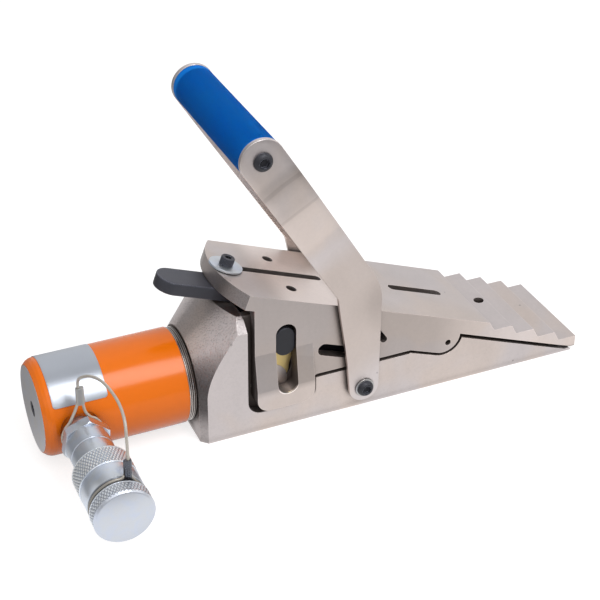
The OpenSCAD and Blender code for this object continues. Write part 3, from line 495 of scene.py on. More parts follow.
def gloss_paint(name, colours):
    """Sprayed gloss paint: deep colour under a clear coat, orange peel, dust nibs, chips at the rims, and
    painted shade where other parts stand close.
    """
    f = Finish.material(name)
    where = f.place()
    peel = f.noise(where, 260, 2, 0.4)
    cloud = f.noise(where, 28, 2, 0.5)
    nib = f.cells(where, 48).step(0.04, 0.012)
    normal = f.rounded(0.5 * MM)
    chip = (f.edge_mask(normal) * f.noise(where, 700, 3, 0.7).step(0.47, 0.60)).step(0.25, 0.6)
    # Painted shade: the paint darkens where other parts stand close, as round the adapter and the lock ring
    gap = f.openness(16 * MM).step(0.9, 0.35)
    tone = f.shade(colours.paint, (0.95 + cloud * 0.10 + peel * 0.04 - nib * 0.25) * (1 - gap * 0.55))
    f.surface(
        f.blend(chip, tone, CHIPPED), chip * 0.6, 0.45 + peel * 0.06 + chip * 0.2,
        f.bump(peel - nib * 0.8, 0.10, 0.05 * MM, normal), Specular_IOR_Level=0.05,
        Coat_Weight=0.72 - chip * 0.72, Coat_Roughness=0.20, Coat_IOR=1.5,
    )


def soft_grip(name, colours):
    """Matt foam-rubber sleeve: fine closed pores, soft scuffs and a slight bloom."""
    f = Finish.material(name)
    pores = f.cells(f.place(), 1500).step(0.05, 0.5)
    scuff = f.noise(f.place((1, 0.3, 1)), 70, 3, 0.6, 0.5)
    colour = f.blend(scuff.step(0.3, 0.75) * 0.4, colours.grip, SCUFFED)
    f.surface(
        f.shade(colour, 0.88 + pores * 0.16), 0.0, 0.55 + scuff * 0.14,
        f.bump(pores + scuff * 0.3, 0.3, 0.06 * MM), Specular_IOR_Level=0.06,
    )


def foil_plate(name, colours):
    """Bare silver foil: fine brushing round the barrel, slight waves where it lies over the paint."""
    f = Finish.material(name)
    brush = f.noise(f.place((8, 0.2, 0.2)), 500, 3, 0.6)
    wave = f.noise(f.place(), 60, 2, 0.5)
    f.surface(
        f.shade(colours.foil, 0.88 + wave * 0.12 + brush * 0.08), 0.9, 0.26 + brush * 0.12 + wave * 0.06,
        f.bump(brush * 0.4 + wave * 1.6, 0.2, 0.06 * MM),
    )


def wire_coat(name, colours):
    """Clear, slightly yellowed coat over steel strands, darker where the wire lies in the cap's groove."""
    f = Finish.material(name)
    _, y, z = f.millimetres()
    along = f.noise(f.place(), 900, 2, 0.5)
    # The colour darkens where the wire lies in the cap's groove
    bay = (-y).step(101.2, 101.8) * z.step(49.5, 47.5)
    f.surface(
        f.shade(colours.coat, (0.85 + along * 0.3) * (1 - bay * 0.45)), 0.2, 0.32 + along * 0.1,
        f.bump(along, 0.2, 0.03 * MM), Coat_Weight=0.5, Coat_Roughness=0.2,
    )


def rubber(name):
    """Plain moulded rubber."""
    f = Finish.material(name)
    grain = f.noise(f.place(), 1100, 3, 0.6)
    f.surface(
        f.shade((0.022, 0.022, 0.0231), 0.8 + grain * 0.4), 0.0, 0.55 + grain * 0.2,
        f.bump(grain, 0.3, 0.04 * MM),
    )


def add_object(name, data):
    """Links a new object to the scene."""
    made = bpy.data.objects.new(name, data)
    bpy.context.scene.collection.objects.link(made)
    return made


def skin(name, patches, material, body, replaces=(), sharp=34):
    """Joins patches into one closed mesh. A patch is (rows x columns x 3 points, rows wrap, columns wrap)."""
    corners, faces, base = [], [], 0
    for grid, wrap_rows, wrap_cols in patches:
        rows, cols = grid.shape[:2]
        index = np.arange(rows * cols).reshape(rows, cols)
        if wrap_rows:
            index = np.vstack([index, index[:1]])
        if wrap_cols:
            index = np.hstack([index, index[:, :1]])
        quads = np.stack([index[:-1, :-1], index[1:, :-1], index[1:, 1:], index[:-1, 1:]], axis=-1)
        corners.append(grid.reshape(-1, 3))
        faces.append(quads.reshape(-1, 4) + base)
        base += rows * cols
    points, quads = np.vstack(corners), np.vstack(faces)
    mesh = bpy.data.meshes.new(name)
    mesh.from_pydata(points.tolist(), [], quads.tolist())
    work = bmesh.new()
    work.from_mesh(mesh)
    bmesh.ops.remove_doubles(work, verts=work.verts, dist=2e-6)
    bmesh.ops.dissolve_degenerate(work, edges=work.edges, dist=1e-7)
    bmesh.ops.recalc_face_normals(work, faces=work.faces)
    work.to_mesh(mesh)
    work.free()
    mesh.shade_smooth()
    mesh.set_sharp_from_angle(angle=math.radians(sharp))
    mesh.materials.append(bpy.data.materials[material])
    piece = add_object(name, mesh)
    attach(piece, body)
    if replaces:
        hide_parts(*replaces)
    return piece


def quarter(count):
    """Angles of a quarter turn."""
    return np.linspace(0, math.pi / 2, count)


def ring_angles(count):
    """Angles of a whole turn, without its end."""
    return np.arange(count) / count * TAU


def triangle(turns):
    """Triangle wave from 1 at whole turns to 0 between them."""
    return np.abs(np.mod(turns, 1.0) - 0.5) * 2


def stacked(*coordinates):
    """Points, from one array for each of their coordinates."""
    return np.stack(coordinates, -1)


def eased(outline, radius, steps=4, closed=False):
    """Rounds the corners of an outline: each becomes a parabola between points one radius away from it."""
    points = np.array(outline, float)
    before, after = np.roll(points, 1, 0), np.roll(points, -1, 0)
    t = np.linspace(0, 1, steps + 1)[:, None]
    rows = []
    for k, corner in enumerate(points):
        if not closed and k in (0, len(points) - 1):
            rows.append(corner[None])
            continue
        a, b = before[k] - corner, after[k] - corner
        la, lb = np.linalg.norm(a), np.linalg.norm(b)
        reach = min(radius, la * 0.48, lb * 0.48)
        p, q = corner + a / la * reach, corner + b / lb * reach
        rows.append((1 - t) ** 2 * p + 2 * t * (1 - t) * corner + t ** 2 * q)
    return np.vstack(rows)


def hexagon(angle):
    """Radius of a hexagon with corners at radius 1, as a function of the angle."""
    return math.cos(math.pi / 6) / np.cos(np.mod(angle, TAU / 6) - math.pi / 6)


def turned(profile, origin, axis, side, count=96, shape=None):
    """A profile of (distance along the axis, radius) carried round the axis: point = origin + distance
    along the axis + radius times (cos angle along side + sin angle square to it). shape(distance, radius,
    angle) may change the radius of each point. A profile that starts off the axis closes on itself."""
    profile = np.array(profile, float)
    distance, radius = (np.repeat(profile[:, k:k + 1], count, 1) for k in (0, 1))
    turn = np.repeat(ring_angles(count)[None], len(profile), 0)
    if shape is not None:
        radius = shape(distance, radius, turn)
    axis, side = np.array(axis, float), np.array(side, float)
    grid = (
        np.array(origin, float) + distance[..., None] * axis + (radius * np.cos(turn))[..., None] * side
        + (radius * np.sin(turn))[..., None] * np.cross(axis, side)
    )
    return grid, bool(profile[0, 1] > 0), True


def knurled(rows, start, end, sizes, *axle):
    """A turned profile, in millimetres, whose rim has crossed helical grooves from start to end: two
    triangle waves run at 30 degrees to the axis in opposite senses, the lower one leaves a small pyramid,
    and they fade out over half a millimetre at both ends. Close rows are added there, so that each groove
    has points across it."""
    rim = max(radius for _, radius in rows)
    close = [(distance, rim) for distance in np.linspace(start, end, round((end - start) / KNURL_ROW))[1:-1]]
    last = max(k for k, row in enumerate(rows) if row[0] == start) + 1
    rim, first, final = rim * MM, (start - 0.1) * MM, (end + 0.1) * MM
    grooves = round(TAU * rim / sizes.knurl_pitch)
    lead = TAU * rim / grooves / math.tan(math.radians(30))

    def cut(distance, radius, turn):
        turns, along = turn / TAU * grooves, (distance - first) / lead
        waves = [triangle(turns + sense * along) for sense in (1, -1)]
        fade = np.clip(np.minimum(distance - first, final - distance) / KNURL_FADE, 0, 1)
        height = sizes.knurl_depth * fade * (np.clip(np.minimum(*waves) * 1.35, 0, 1) - 1)
        on_rim = (radius > rim - 1e-6) & (distance > first) & (distance < final)
        return radius + np.where(on_rim, height, 0)

    profile = np.array(rows[:last] + close + rows[last:]) * MM
    count = 36 * round(TAU * rim / sizes.knurl_pitch / 6)
    return turned(profile, *axle, count, cut)


def slab(left, right, depth, ease, across=4):
    """A plate between two outlines that run side by side from one end to the other, from height 0 to depth,
    with rounded edges: rows of the loop are drawn in by a quarter circle at both faces, and the faces are
    ruled from left to right. Gives patches of (x, z, height)."""
    loop = np.vstack([right, left[::-1]])
    tangent = np.roll(loop, -1, 0) - np.roll(loop, 1, 0)
    tangent /= np.linalg.norm(tangent, axis=1)[:, None]
    inward = stacked(-tangent[:, 1], tangent[:, 0])
    if np.sum((loop.mean(0) - loop) * inward) < 0:
        inward = -inward
    sine, cosine = ease * (1 - np.sin(quarter(5))), ease * (1 - np.cos(quarter(5)))
    inset, height = np.concatenate([sine, cosine]), np.concatenate([cosine, depth - sine])
    flat = loop[None] + inset[:, None, None] * inward[None]
    wall = np.concatenate([flat, np.broadcast_to(height[:, None, None], (*flat.shape[:2], 1))], 2)
    half = len(right)
    share = np.linspace(0, 1, across + 1)[None, :, None]
    faces = []
    for row in (0, -1):
        near, far = wall[row, :half], wall[row, half:][::-1]
        faces.append((near[:, None] * (1 - share) + far[:, None] * share, False, False))
    return [(wall, False, True), *faces]


def mapped(patches, change):
    """The same patches with every point sent through change, which takes and gives three coordinates."""
    return [(stacked(*change(*np.moveaxis(grid, -1, 0))), rows, cols) for grid, rows, cols in patches]


def on_slope(s, y, n):
    """From (down the slope, sideways, square to it) to the row frame."""
    sine, cosine = math.sin(SLOPE), math.cos(SLOPE)
    return s * cosine + n * sine, y, SLOPE_TOP - s * sine + n * cosine


def button_head(origin, axis, side, radius, height, shank, length):
    """Button-head screw: a domed profile from its shank over the rim to the edge of its hexagon socket,
    whose flats run straight down."""
    rise = np.linspace(0, 1, 9)
    dome = stacked(
        height * (0.16 + 0.84 * np.sin(rise * 1.25) / math.sin(1.25)), radius * (1 - 0.50 * rise ** 1.7)
    )
    crown, edge = dome[-1]
    key = edge * 1.12
    profile = [(-length, 0), (-length, shank), (0.0, shank), (0.0, radius * 0.97), (height * 0.04, radius),
               *dome, (crown - 0.02 * MM, key * 0.98), (crown - 0.25 * MM, key * 0.93),
               (height * 0.36, key * 0.93), (height * 0.30, 0)]
    first = len(profile) - 3

    def socket(distance, r, turn):
        return np.concatenate([r[:first], r[first:] * hexagon(turn[first:])])

    return turned(profile, origin, axis, side, 96, socket)


def catmull(route, steps):
    """A smooth line through the route: stretches of cubics whose end slopes are half the neighbours' span."""
    p = np.vstack([route[:1], route, route[-1:]])
    a, b, c, d = p[:-3, None], p[1:-2, None], p[2:-1, None], p[3:, None]
    t = (np.arange(steps) / steps)[None, :, None]
    bend, twist = 2 * a - 5 * b + 4 * c - d, 3 * b - a - 3 * c + d
    line = 0.5 * (2 * b + (c - a) * t + bend * t ** 2 + twist * t ** 3)
    return np.vstack([line.reshape(-1, route.shape[1]), route[-1:]])


def travelled(line):
    """Distance along a line, at each of its points."""
    return np.concatenate([[0], np.cumsum(np.linalg.norm(np.diff(line, axis=0), axis=1))])


def swept(line, radius, count):
    """A tube round a line as a patch. Its rings are square to the line and carried along it without twist;
    radius has a row for each point of the line, and both ends are drawn together."""
    tangent = np.gradient(line, axis=0)
    tangent /= np.linalg.norm(tangent, axis=1)[:, None]
    sides, side = np.empty_like(line), np.array([0.0, 1.0, 0.0])
    for k, direction in enumerate(tangent):
        side = side - direction * (side @ direction)
        side /= np.linalg.norm(side)
        sides[k] = side
    radius = radius.copy()
    radius[[0, -1]] *= 0.02
    angle = ring_angles(count)[None, :, None]
    ring = np.cos(angle) * sides[:, None] + np.sin(angle) * np.cross(tangent, sides)[:, None]
    return line[:, None] + radius[..., None] * ring, False, True


def dress(nodes, material):
    """Gives CAD nodes a finish in place of the plain one they came with."""
    for node in nodes.split():
        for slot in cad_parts[node].material_slots:
            slot.material = bpy.data.materials[material]


class SPREADER_OT_camera(bpy.types.Operator):
    """Puts the camera at the viewing angle, with the object framed for a square picture"""

    bl_idname = "spreader.camera"
    bl_label = "Camera"

    def execute(self, context):
        turn, tilt, roll = math.radians(23.745), math.radians(32.696), math.radians(0.343)
        place = (-0.2680, -0.7047, 0.5597)
        right = np.array([math.cos(turn), -math.sin(turn), 0])
        forward = np.array([math.sin(turn), math.cos(turn), 0]) * math.cos(tilt) - (0, 0, math.sin(tilt))
        up = np.cross(right, forward)
        level = math.cos(roll) * right + math.sin(roll) * up
        upright = math.cos(roll) * up - math.sin(roll) * right
        data = bpy.data.cameras.new("viewpoint")
        data.sensor_width, data.lens = 36, 88.49
        data.shift_x, data.shift_y = 0.01086, 0.00016
        data.clip_start, data.clip_end = 0.01, 20
        camera = add_object("viewpoint", data)
        pose = np.eye(4)
        pose[:3] = stacked(level, upright, -forward, place)
        camera.matrix_world = Matrix(pose.tolist())
        context.scene.camera = camera
        return {"FINISHED"}


class SPREADER_OT_finishes(bpy.types.Operator):
    """Makes the finishes and gives them to the CAD nodes that stay"""

    bl_idname = "spreader.finishes"
    bl_label = "Finishes"

    def execute(self, context):
        sizes, colours = context.scene.spreader_sizes, context.scene.spreader_colours
        nickel("nickel_base", sizes, colours, base_zones, grain=0.8, cast=0.6)
        nickel("nickel_jaw", sizes, colours, jaw_zones, flow=(0, SLOPE, 0), cast=0.15)
        nickel("nickel_arm", sizes, colours, arm_zones, grain=0.35, flow=(0, -LEAN, 0), edge=False)
        # Lit and shaded copies of one black oxide: the bar painted lighter, the key and the wedge painted
        # darker
        for name, painted_light_level in (("parts", 1.0), ("bar", 1.6), ("key", 0.72), ("wedge", 0.8)):
            oxide(f"oxide_{name}", colours, painted_light_level)
        for name, colour, rough, axis, *more in (
            ("zinc_parts", colours.zinc, 0.24, 1, 1.0),
            ("sleeve_zinc", (0.79, 0.83, 0.89), 0.24, 1, 1.0, ((17.5, 72.6, 85.9), (16.9, 99.5, 100.6))),
            ("cap_alloy", colours.cap, 0.3, 1, 0.5, ((17.7, 105.8, 112.8), (16.2, 100.6, 104.2))),
            ("washer_zinc", (0.72, 0.76, 0.81), 0.36, 1),
            ("bare_parts", colours.bare, 0.34, 0),
            ("disc_face", (0.80, 0.78, 0.78), 0.42, 0),
            ("bright_rod", (0.7, 0.7, 0.72), 0.15, 0),
            ("spring_wire", (0.30, 0.30, 0.32), 0.35, 1),
            ("ferrule_alloy", (0.13, 0.135, 0.15), 0.18, 2),
            ("crimp_alloy", (0.50, 0.48, 0.45), 0.4, 2),
            ("bronze_parts", (0.52, 0.36, 0.15), 0.35, 1),
            ("chromate_disc", colours.chromate, 0.38, 2, 0.0, None, (0.10, 0.06, 0.02)),
            ("pin_steel", (0.56, 0.49, 0.45), 0.36, 1),
        ):
            plated(name, sizes, colour, rough, axis, *more)
        threaded("thread_steel", colours)
        gloss_paint("barrel_paint", colours)
        soft_grip("grip_sleeve", colours)
        foil_plate("plate_foil", colours)
        wire_coat("wire_coat", colours)
        rubber("seal_rubber")
        dress("base_body", "nickel_base")
        dress("jaw", "nickel_jaw")
        dress("barrel", "barrel_paint")
        dress("piston cross_pin grip_core", "bare_parts")
        dress("end_disc", "disc_face")
        dress("end_plug tail_fixings", "oxide_parts")
        dress("drive_wedge", "oxide_wedge")
        dress("rod_guide coupler_valve", "bronze_parts")
        dress("piston_rod", "bright_rod")
        dress("rod_seal piston_seal coupler_seal pivot_washer_near pivot_washer_far", "seal_rubber")
        dress("pin_disc_near pin_disc_far", "chromate_disc")
        return {"FINISHED"}


class SPREADER_OT_lanyard(bpy.types.Operator):
    """Lays the coated wire from its eye round the neck, over in a free arch and round the cap's groove"""

    bl_idname = "spreader.lanyard"
    bl_label = "Wire lanyard"

    def execute(self, context):
        sizes = context.scene.spreader_sizes
        eye_y, ring_y = -36.0, -102.2

        def level(y, *places):
            """Points (x, y, z) of a winding that lies at one y."""
            return [(x, y, z) for x, z in places]

        line = catmull(np.array([
            *level(eye_y, (-105.3, 62), (-105.1, 54), (-103.9, 47.2), (-101.2, 43), (-97.7, 40.3),
                   (-94.4, 34.1), (-94.9, 27.1), (-99.2, 21.5), (-105.9, 19.1), (-112.7, 20.8), (-117.5, 25.9),
                   (-118.8, 32.8), (-116.7, 38.6), (-113, 43.6), (-107.7, 56), (-107.2, 66.5)),
            (-106.6, -38.6, 73.1), (-102.9, -47, 79.4), (-99.8, -58.5, 83.4), (-98, -71, 84.8),
            (-97.2, -84, 84.4), (-97.9, -95.5, 81.2), (-99.1, -101.2, 72.2), (-99.1, -102.4, 52),
            *level(ring_y, (-96.4, 44.7), (-91.4, 37.9), (-90.1, 30.4), (-92.4, 23.1), (-97.8, 17.6),
                   (-105.1, 15.2), (-112.6, 16.3), (-118.9, 20.7), (-122.4, 27.5), (-122.5, 35.2),
                   (-119.1, 42), (-112.9, 46.6), (-107.6, 47.9), (-103.8, 48), (-101.7, 50.6)),
            (-101.4, -102.4, 56),
        ]) * MM, 14)
        travel = travelled(line)
        lay, angle = travel[:, None] / LAY_LENGTH * TAU, ring_angles(20)
        radius = sizes.wire_diameter / 2 - sizes.strand_depth * np.abs(np.sin(STRANDS / 2 * angle - lay))
        wire = skin("lanyard_wire", [swept(line, radius, len(angle))], "wire_coat", "base",
                    ["lanyard"], 60)

        squareness, bite_depth, bite_width, end = 2.7, 0.055, 0.9 * MM, 0.06

        def pressed(width, depth, dents, ribs):
            """Radius of a flattened sleeve: a squarish oval, bitten by the pressing tool, with ribs."""
            def shape(distance, radius, turn):
                sine, cosine = np.abs(np.sin(turn)), np.abs(np.cos(turn))
                oval = (cosine / (width / 2)) ** squareness + (sine / (depth / 2)) ** squareness
                oval = oval ** (-1 / squareness)
                bite = sum(np.exp(-((distance - dent * MM) / bite_width) ** 2) for dent in dents)
                return oval * radius * (1 - bite_depth * bite * sine - ribs * (0.5 + 0.5 * np.cos(9 * turn)))
            return shape

        def crimp(name, origin, axis, long, shape, material, node):
            """A sleeve pressed round the wire, with eased ends."""
            rows = eased([(0, 0.45), (0, 1), (long, 1), (long, 0.45)], 0.08 * long, 5) * (MM, 1)
            inner = np.linspace(end, 1 - end, 26)[:, None] * [long * MM, 0] + [0, 1]
            before, after = rows[:, 0] < end * long * MM, rows[:, 0] > (1 - end) * long * MM
            rows = np.vstack([[rows[0, 0], 0], rows[before], inner, rows[after], [rows[-1, 0], 0]])
            patch = turned(rows, np.array(origin) * MM, axis, (1, 0, 0), 72, shape)
            return skin(name, [patch], material, "base", [node], 50)

        oval = pressed(4.9 * MM, 3.2 * MM, (2.6, 5.8, 9.0), 0.0)
        upper = crimp("crimp_at_eye", (-106.4, eye_y, 53.6), (0, 0, 1), 11.7, oval, "crimp_alloy",
                      "crimp_upper")
        lean, oval = math.radians(2), pressed(4.7 * MM, 3.1 * MM, (), 0.10)
        lower = crimp("ferrule_at_cap", (-100.3, -102.4, 47.9), (math.sin(lean), 0, math.cos(lean)), 12, oval,
                      "ferrule_alloy", "ferrule_lower")
        return {"FINISHED"}


class SPREADER_OT_coupler(bpy.types.Operator):
    """Builds the hexagon adapter, the coupler's tube and its knurled turning sleeve and cap"""

    bl_idname = "spreader.coupler"
    bl_label = "Coupler and sleeve"

    def execute(self, context):
        sizes = context.scene.spreader_sizes
        axle = (INLET_X, 0, AXIS_Z), (0, -1, 0), (1, 0, 0)
        hex_y, hex_t, hex_r, corner = 38.7 * MM, 6.3 * MM, 13 * MM / math.cos(math.pi / 6), math.radians(20)
        rear_cut, rear_slope, front_cut, front_slope = 0.6 * MM, 1.8, 1.0 * MM, 1.3

        def hexed(distance, radius, turn):
            """Flat sides between two cones that cut the corners off round."""
            depth = distance - hex_y
            rear = hex_r - rear_cut + depth * rear_slope
            front = hex_r - front_cut + (hex_t - depth) * front_slope
            flats = np.minimum(hex_r * hexagon(turn - corner), np.minimum(rear, front))
            inside = (depth > -1e-7) & (depth < hex_t + 1e-7) & (radius > 12 * MM)
            return np.where(inside, np.minimum(flats, hex_r), radius)

        rows = [(22, 0), (22, 7.9), (31.6, 7.9), (31.9, 8.8), (33.6, 8.8), (33.9, 8.5), (34.2, 8.8),
                (38.7, 8.8)]
        rows += [(d, 15) for d in (38.7, 38.9, 39.1, 39.4, 41, 43, *np.linspace(43.3, 45, 14))]
        adapter = turned(np.array(rows + [(45, 12.4), (45, 0)]) * MM, *axle, 180, hexed)
        skin("hex_adapter", [adapter], "zinc_parts", "base", ["inlet_adapter"], 24)
        wall = eased([
            (45, 13), (56.2, 13), (56.5, 12.7), (57.0, 12.7), (57.3, 13), (70.9, 13), (71.2, 12.6),
            (99.9, 12.6), (100, 10.1), (86, 10.1)], 0.25, 3)
        tube = turned(np.vstack([(45, 0), wall, (86, 0)]) * MM, *axle, 120)
        skin("coupler_tube", [tube], "zinc_parts", "base", ["coupler_body"])
        sleeve = knurled([
            (71.3, 13.3), (71.3, 16.6), (72.2, 17.5), (72.4, 17.5), (86.0, 17.5), (86.2, 17.5), (86.6, 17.0),
            (87.0, 17.15), (99.2, 17.15), (100.4, 16.3), (100.4, 13.3)], 72.4, 86.0, sizes, *axle)
        skin("knurled_sleeve", [sleeve], "sleeve_zinc", "sleeve", ["coupler_sleeve"], 50)
        cap = knurled([
            (94.2, 0), (94.2, 8.9), (95.0, 9.8), (100.7, 9.8), (100.7, 15.0), (104.3, 15.0), (104.3, 16.4),
            (105.4, 17.7), (105.6, 17.7), (113.0, 17.7), (113.2, 17.7), (114.4, 16.8), (114.8, 16.1),
            (114.8, 0)], 105.6, 113.0, sizes, *axle)
        skin("knurled_cap", [cap], "cap_alloy", "cap", ["dust_cap"], 50)
        return {"FINISHED"}


class SPREADER_OT_cylinder(bpy.types.Operator):
    """Builds the threaded lock ring, the bare plate on the barrel and the return spring"""

    bl_idname = "spreader.cylinder"
    bl_label = "Cylinder trim"

    def execute(self, context):
        start, end = span("lock_ring", 0)
        crest = np.linspace(start + 0.9 * MM, end - 0.9 * MM, 33)
        root, depth, pitch = 29.05 * MM, 0.45 * MM, 0.92 * MM
        ridge = root + depth * triangle((crest - start) / pitch)
        outer = [(start, 24.1 * MM), (start, 29.2 * MM), (start + 0.5 * MM, 29.5 * MM), *zip(crest, ridge),
                 (end - 0.5 * MM, 27.6 * MM), (end, 27.6 * MM), (end, 24.1 * MM)]
        ring = turned(outer, (0, 0, AXIS_Z), (1, 0, 0), (0, -1, 0), 144)
        skin("thread_ring", [ring], "thread_steel", "base", ["lock_ring"])
        x0, x1 = span("label_plate", 0)
        barrel_r = half_span("barrel", 1)
        corner = context.scene.spreader_sizes.label_corner
        first_angle, arc = math.radians(30), barrel_r * math.radians(120)
        cut_in, cut_up = corner * (1 - np.sin(quarter(10))), corner * (1 - np.cos(quarter(10)))
        inset = np.concatenate([cut_in, np.zeros(62), cut_in[::-1]])
        along = np.concatenate([cut_up, np.linspace(corner, arc - corner, 64)[1:-1], arc - cut_up[::-1]])

        def wrapped(x, length, height):
            """Lays the flat plate round the barrel."""
            turn, r = first_angle + length / barrel_r, barrel_r + 0.01 * MM + height
            return x, -r * np.cos(turn), AXIS_Z + r * np.sin(turn)

        plate = slab(stacked(x0 + inset, along), stacked(x1 - inset, along), 0.28 * MM, 0.09 * MM, 24)
        skin("bare_plate", mapped(plate, wrapped), "plate_foil", "base", ["label_plate"])
        low, high = span("return_spring", 0)
        coils, wire_r, coil_r = 6, 1.55 * MM, 15.2 * MM
        turns = np.linspace(0, 1, coils * 40 + 1)
        wind = turns * coils * TAU
        along = low + wire_r + turns * (high - low - 2 * wire_r)
        line = stacked(along, coil_r * np.cos(wind), AXIS_Z + coil_r * np.sin(wind))
        coil = swept(line, np.full((len(line), 1), wire_r), 12)
        spring = skin("return_coil", [coil], "spring_wire", "base", ["return_spring"], 60)
        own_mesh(spring)
        return {"FINISHED"}


class SPREADER_OT_bail(bpy.types.Operator):
    """Builds the two bent arms, the grip's sleeve, the pivot bushes and the four button-head screws"""

    bl_idname = "spreader.bail"
    bl_label = "Bail and grip"

    def execute(self, context):
        sizes = context.scene.spreader_sizes
        sin_l, cos_l = math.sin(LEAN), math.cos(LEAN)
        inner_y, outer_y = span("bail_arm_far", 1)
        thick, arm_w, pivot_r, elbow_r = 3 * MM, 26.4 * MM, 10 * MM, 40 * MM
        head_h, shank, flange_t = 3.3 * MM, 2.95 * MM, 1.2 * MM
        grip, pivot = np.array(GRIP), np.array(PIVOT)
        up, out = np.array([-sin_l, cos_l]), np.array([cos_l, sin_l])
        grip_t, grip_n = grip @ up, grip @ out
        left_n, right_n = grip_n - arm_w / 2, grip_n + arm_w / 2
        bend_from, bend_to, bend_len = 25 * MM, grip_t - 42.4 * MM, 20 * MM
        rate = (outer_y - inner_y - thick) / (bend_to - bend_from)

        def shift(t):
            """Sideways set of the arm: level, a soft bend, a lean outwards, a soft bend, level again."""
            s = np.clip((t - bend_from) / bend_len, 0, 1)
            e = np.clip((bend_to + bend_len - t) / bend_len, 0, 1)
            rise = np.clip(t - bend_from - bend_len, 0, bend_to - bend_from - bend_len)
            return rate * (bend_len * s ** 2 / 2 + rise + bend_len * (1 - e ** 2) / 2 * (t > bend_to))

        a = quarter(16)
        foot_left = pivot - pivot_r * stacked(np.sin(a), np.cos(a))
        foot_right = foot_left * (-1, 1) + (2 * pivot[0], 0)
        elbow_x = pivot[0] + pivot_r
        arc_t = ((right_n - elbow_r) * cos_l - (elbow_x - elbow_r)) / sin_l
        centre = (right_n - elbow_r) * out + arc_t * up
        corner_t = arc_t + 2.5 * MM
        b = np.linspace(0, LEAN, 26)
        bend_right = centre + elbow_r * stacked(np.cos(b), np.sin(b))
        straight = np.linspace(0, 1, 10)[1:-1, None]
        lower_right = np.vstack([foot_right[-1] + straight * (bend_right[0] - foot_right[-1]), bend_right])
        knots = pivot + np.array([(-10, 0), (-11.2, 12), (-12.5, 24), (-15.8, 46)]) * MM
        smooth = catmull(np.vstack([knots, left_n * out + corner_t * up]), 40)
        reach = travelled(smooth)
        wanted = np.linspace(0, reach[-1], len(lower_right) + 1)[1:]
        lower_left = stacked(*(np.interp(wanted, reach, smooth[:, k]) for k in (0, 1)))
        ts = np.linspace(0, 1, 60)[1:-1, None]
        upper_left, upper_right = (
            n * out + (t + ts * (grip_t - t)) * up for n, t in ((left_n, corner_t), (right_n, arc_t))
        )
        a = a[::-1, None]
        head_left, head_right = (
            grip + arm_w / 2 * (sign * np.sin(a) * out + np.cos(a) * up) for _, sign in SIDES
        )
        left = np.vstack([foot_left, lower_left, upper_left, head_left])
        right = np.vstack([foot_right, lower_right, upper_right, head_right])
        patches = slab(left, right, thick, sizes.arm_ease, 6)
        flange = eased(np.array([(-5, 3), (-5, 4.9), (0, 4.9), (0, 6.2), (1.2, 6.2), (1.2, 3)]) * MM,
                       0.2 * MM, 3, True)
        for name, sign in SIDES:
            def placed(x, z, height, sign=sign):
                return x, sign * (inner_y + shift(x * up[0] + z * up[1]) + height), z

            skin(f"bail_plate_{name}", mapped(patches, placed), "nickel_arm", "bail",
                 [f"bail_arm_{name}"])
            axis, side = (0, sign, 0), (1, 0, 0)
            seat = sign * (inner_y + thick + 0.1 * MM)
            skin(f"pivot_flange_{name}", [turned(flange, (PIVOT[0], seat, PIVOT[1]), axis, side)],
                 "bare_parts", "base", [f"pivot_bush_{name}"])
            for kind, (x, z), y, radius, length, body in (
                ("pivot", PIVOT, seat + sign * flange_t, 5.25 * MM, 14 * MM, "base"),
                ("grip", GRIP, sign * outer_y, 5.6 * MM, 16 * MM, "bail"),
            ):
                screw = button_head((x, y, z), axis, side, radius, head_h, shank, length)
                skin(f"{kind}_button_{name}", [screw], "oxide_parts", body,
                     [f"{kind}_screw_{name}"])
        half, radius, bore = half_span("grip_tube", 1), half_span("grip_tube", 0), 8.1 * MM
        tube = eased([(-half, bore), (-half, radius), (half, radius), (half, bore)], sizes.grip_ease, 6)
        between = np.linspace(0.05, 0.95, 30)[:, None] * [2 * half, 0] + [-half, radius]
        tube = np.vstack([tube[:7], between, tube[7:]])
        sleeve = turned(tube, (GRIP[0], 0, GRIP[1]), (0, 1, 0), (1, 0, 0), 128)
        skin("grip_sleeve", [sleeve], "grip_sleeve", "bail", ["grip_tube"])
        return {"FINISHED"}


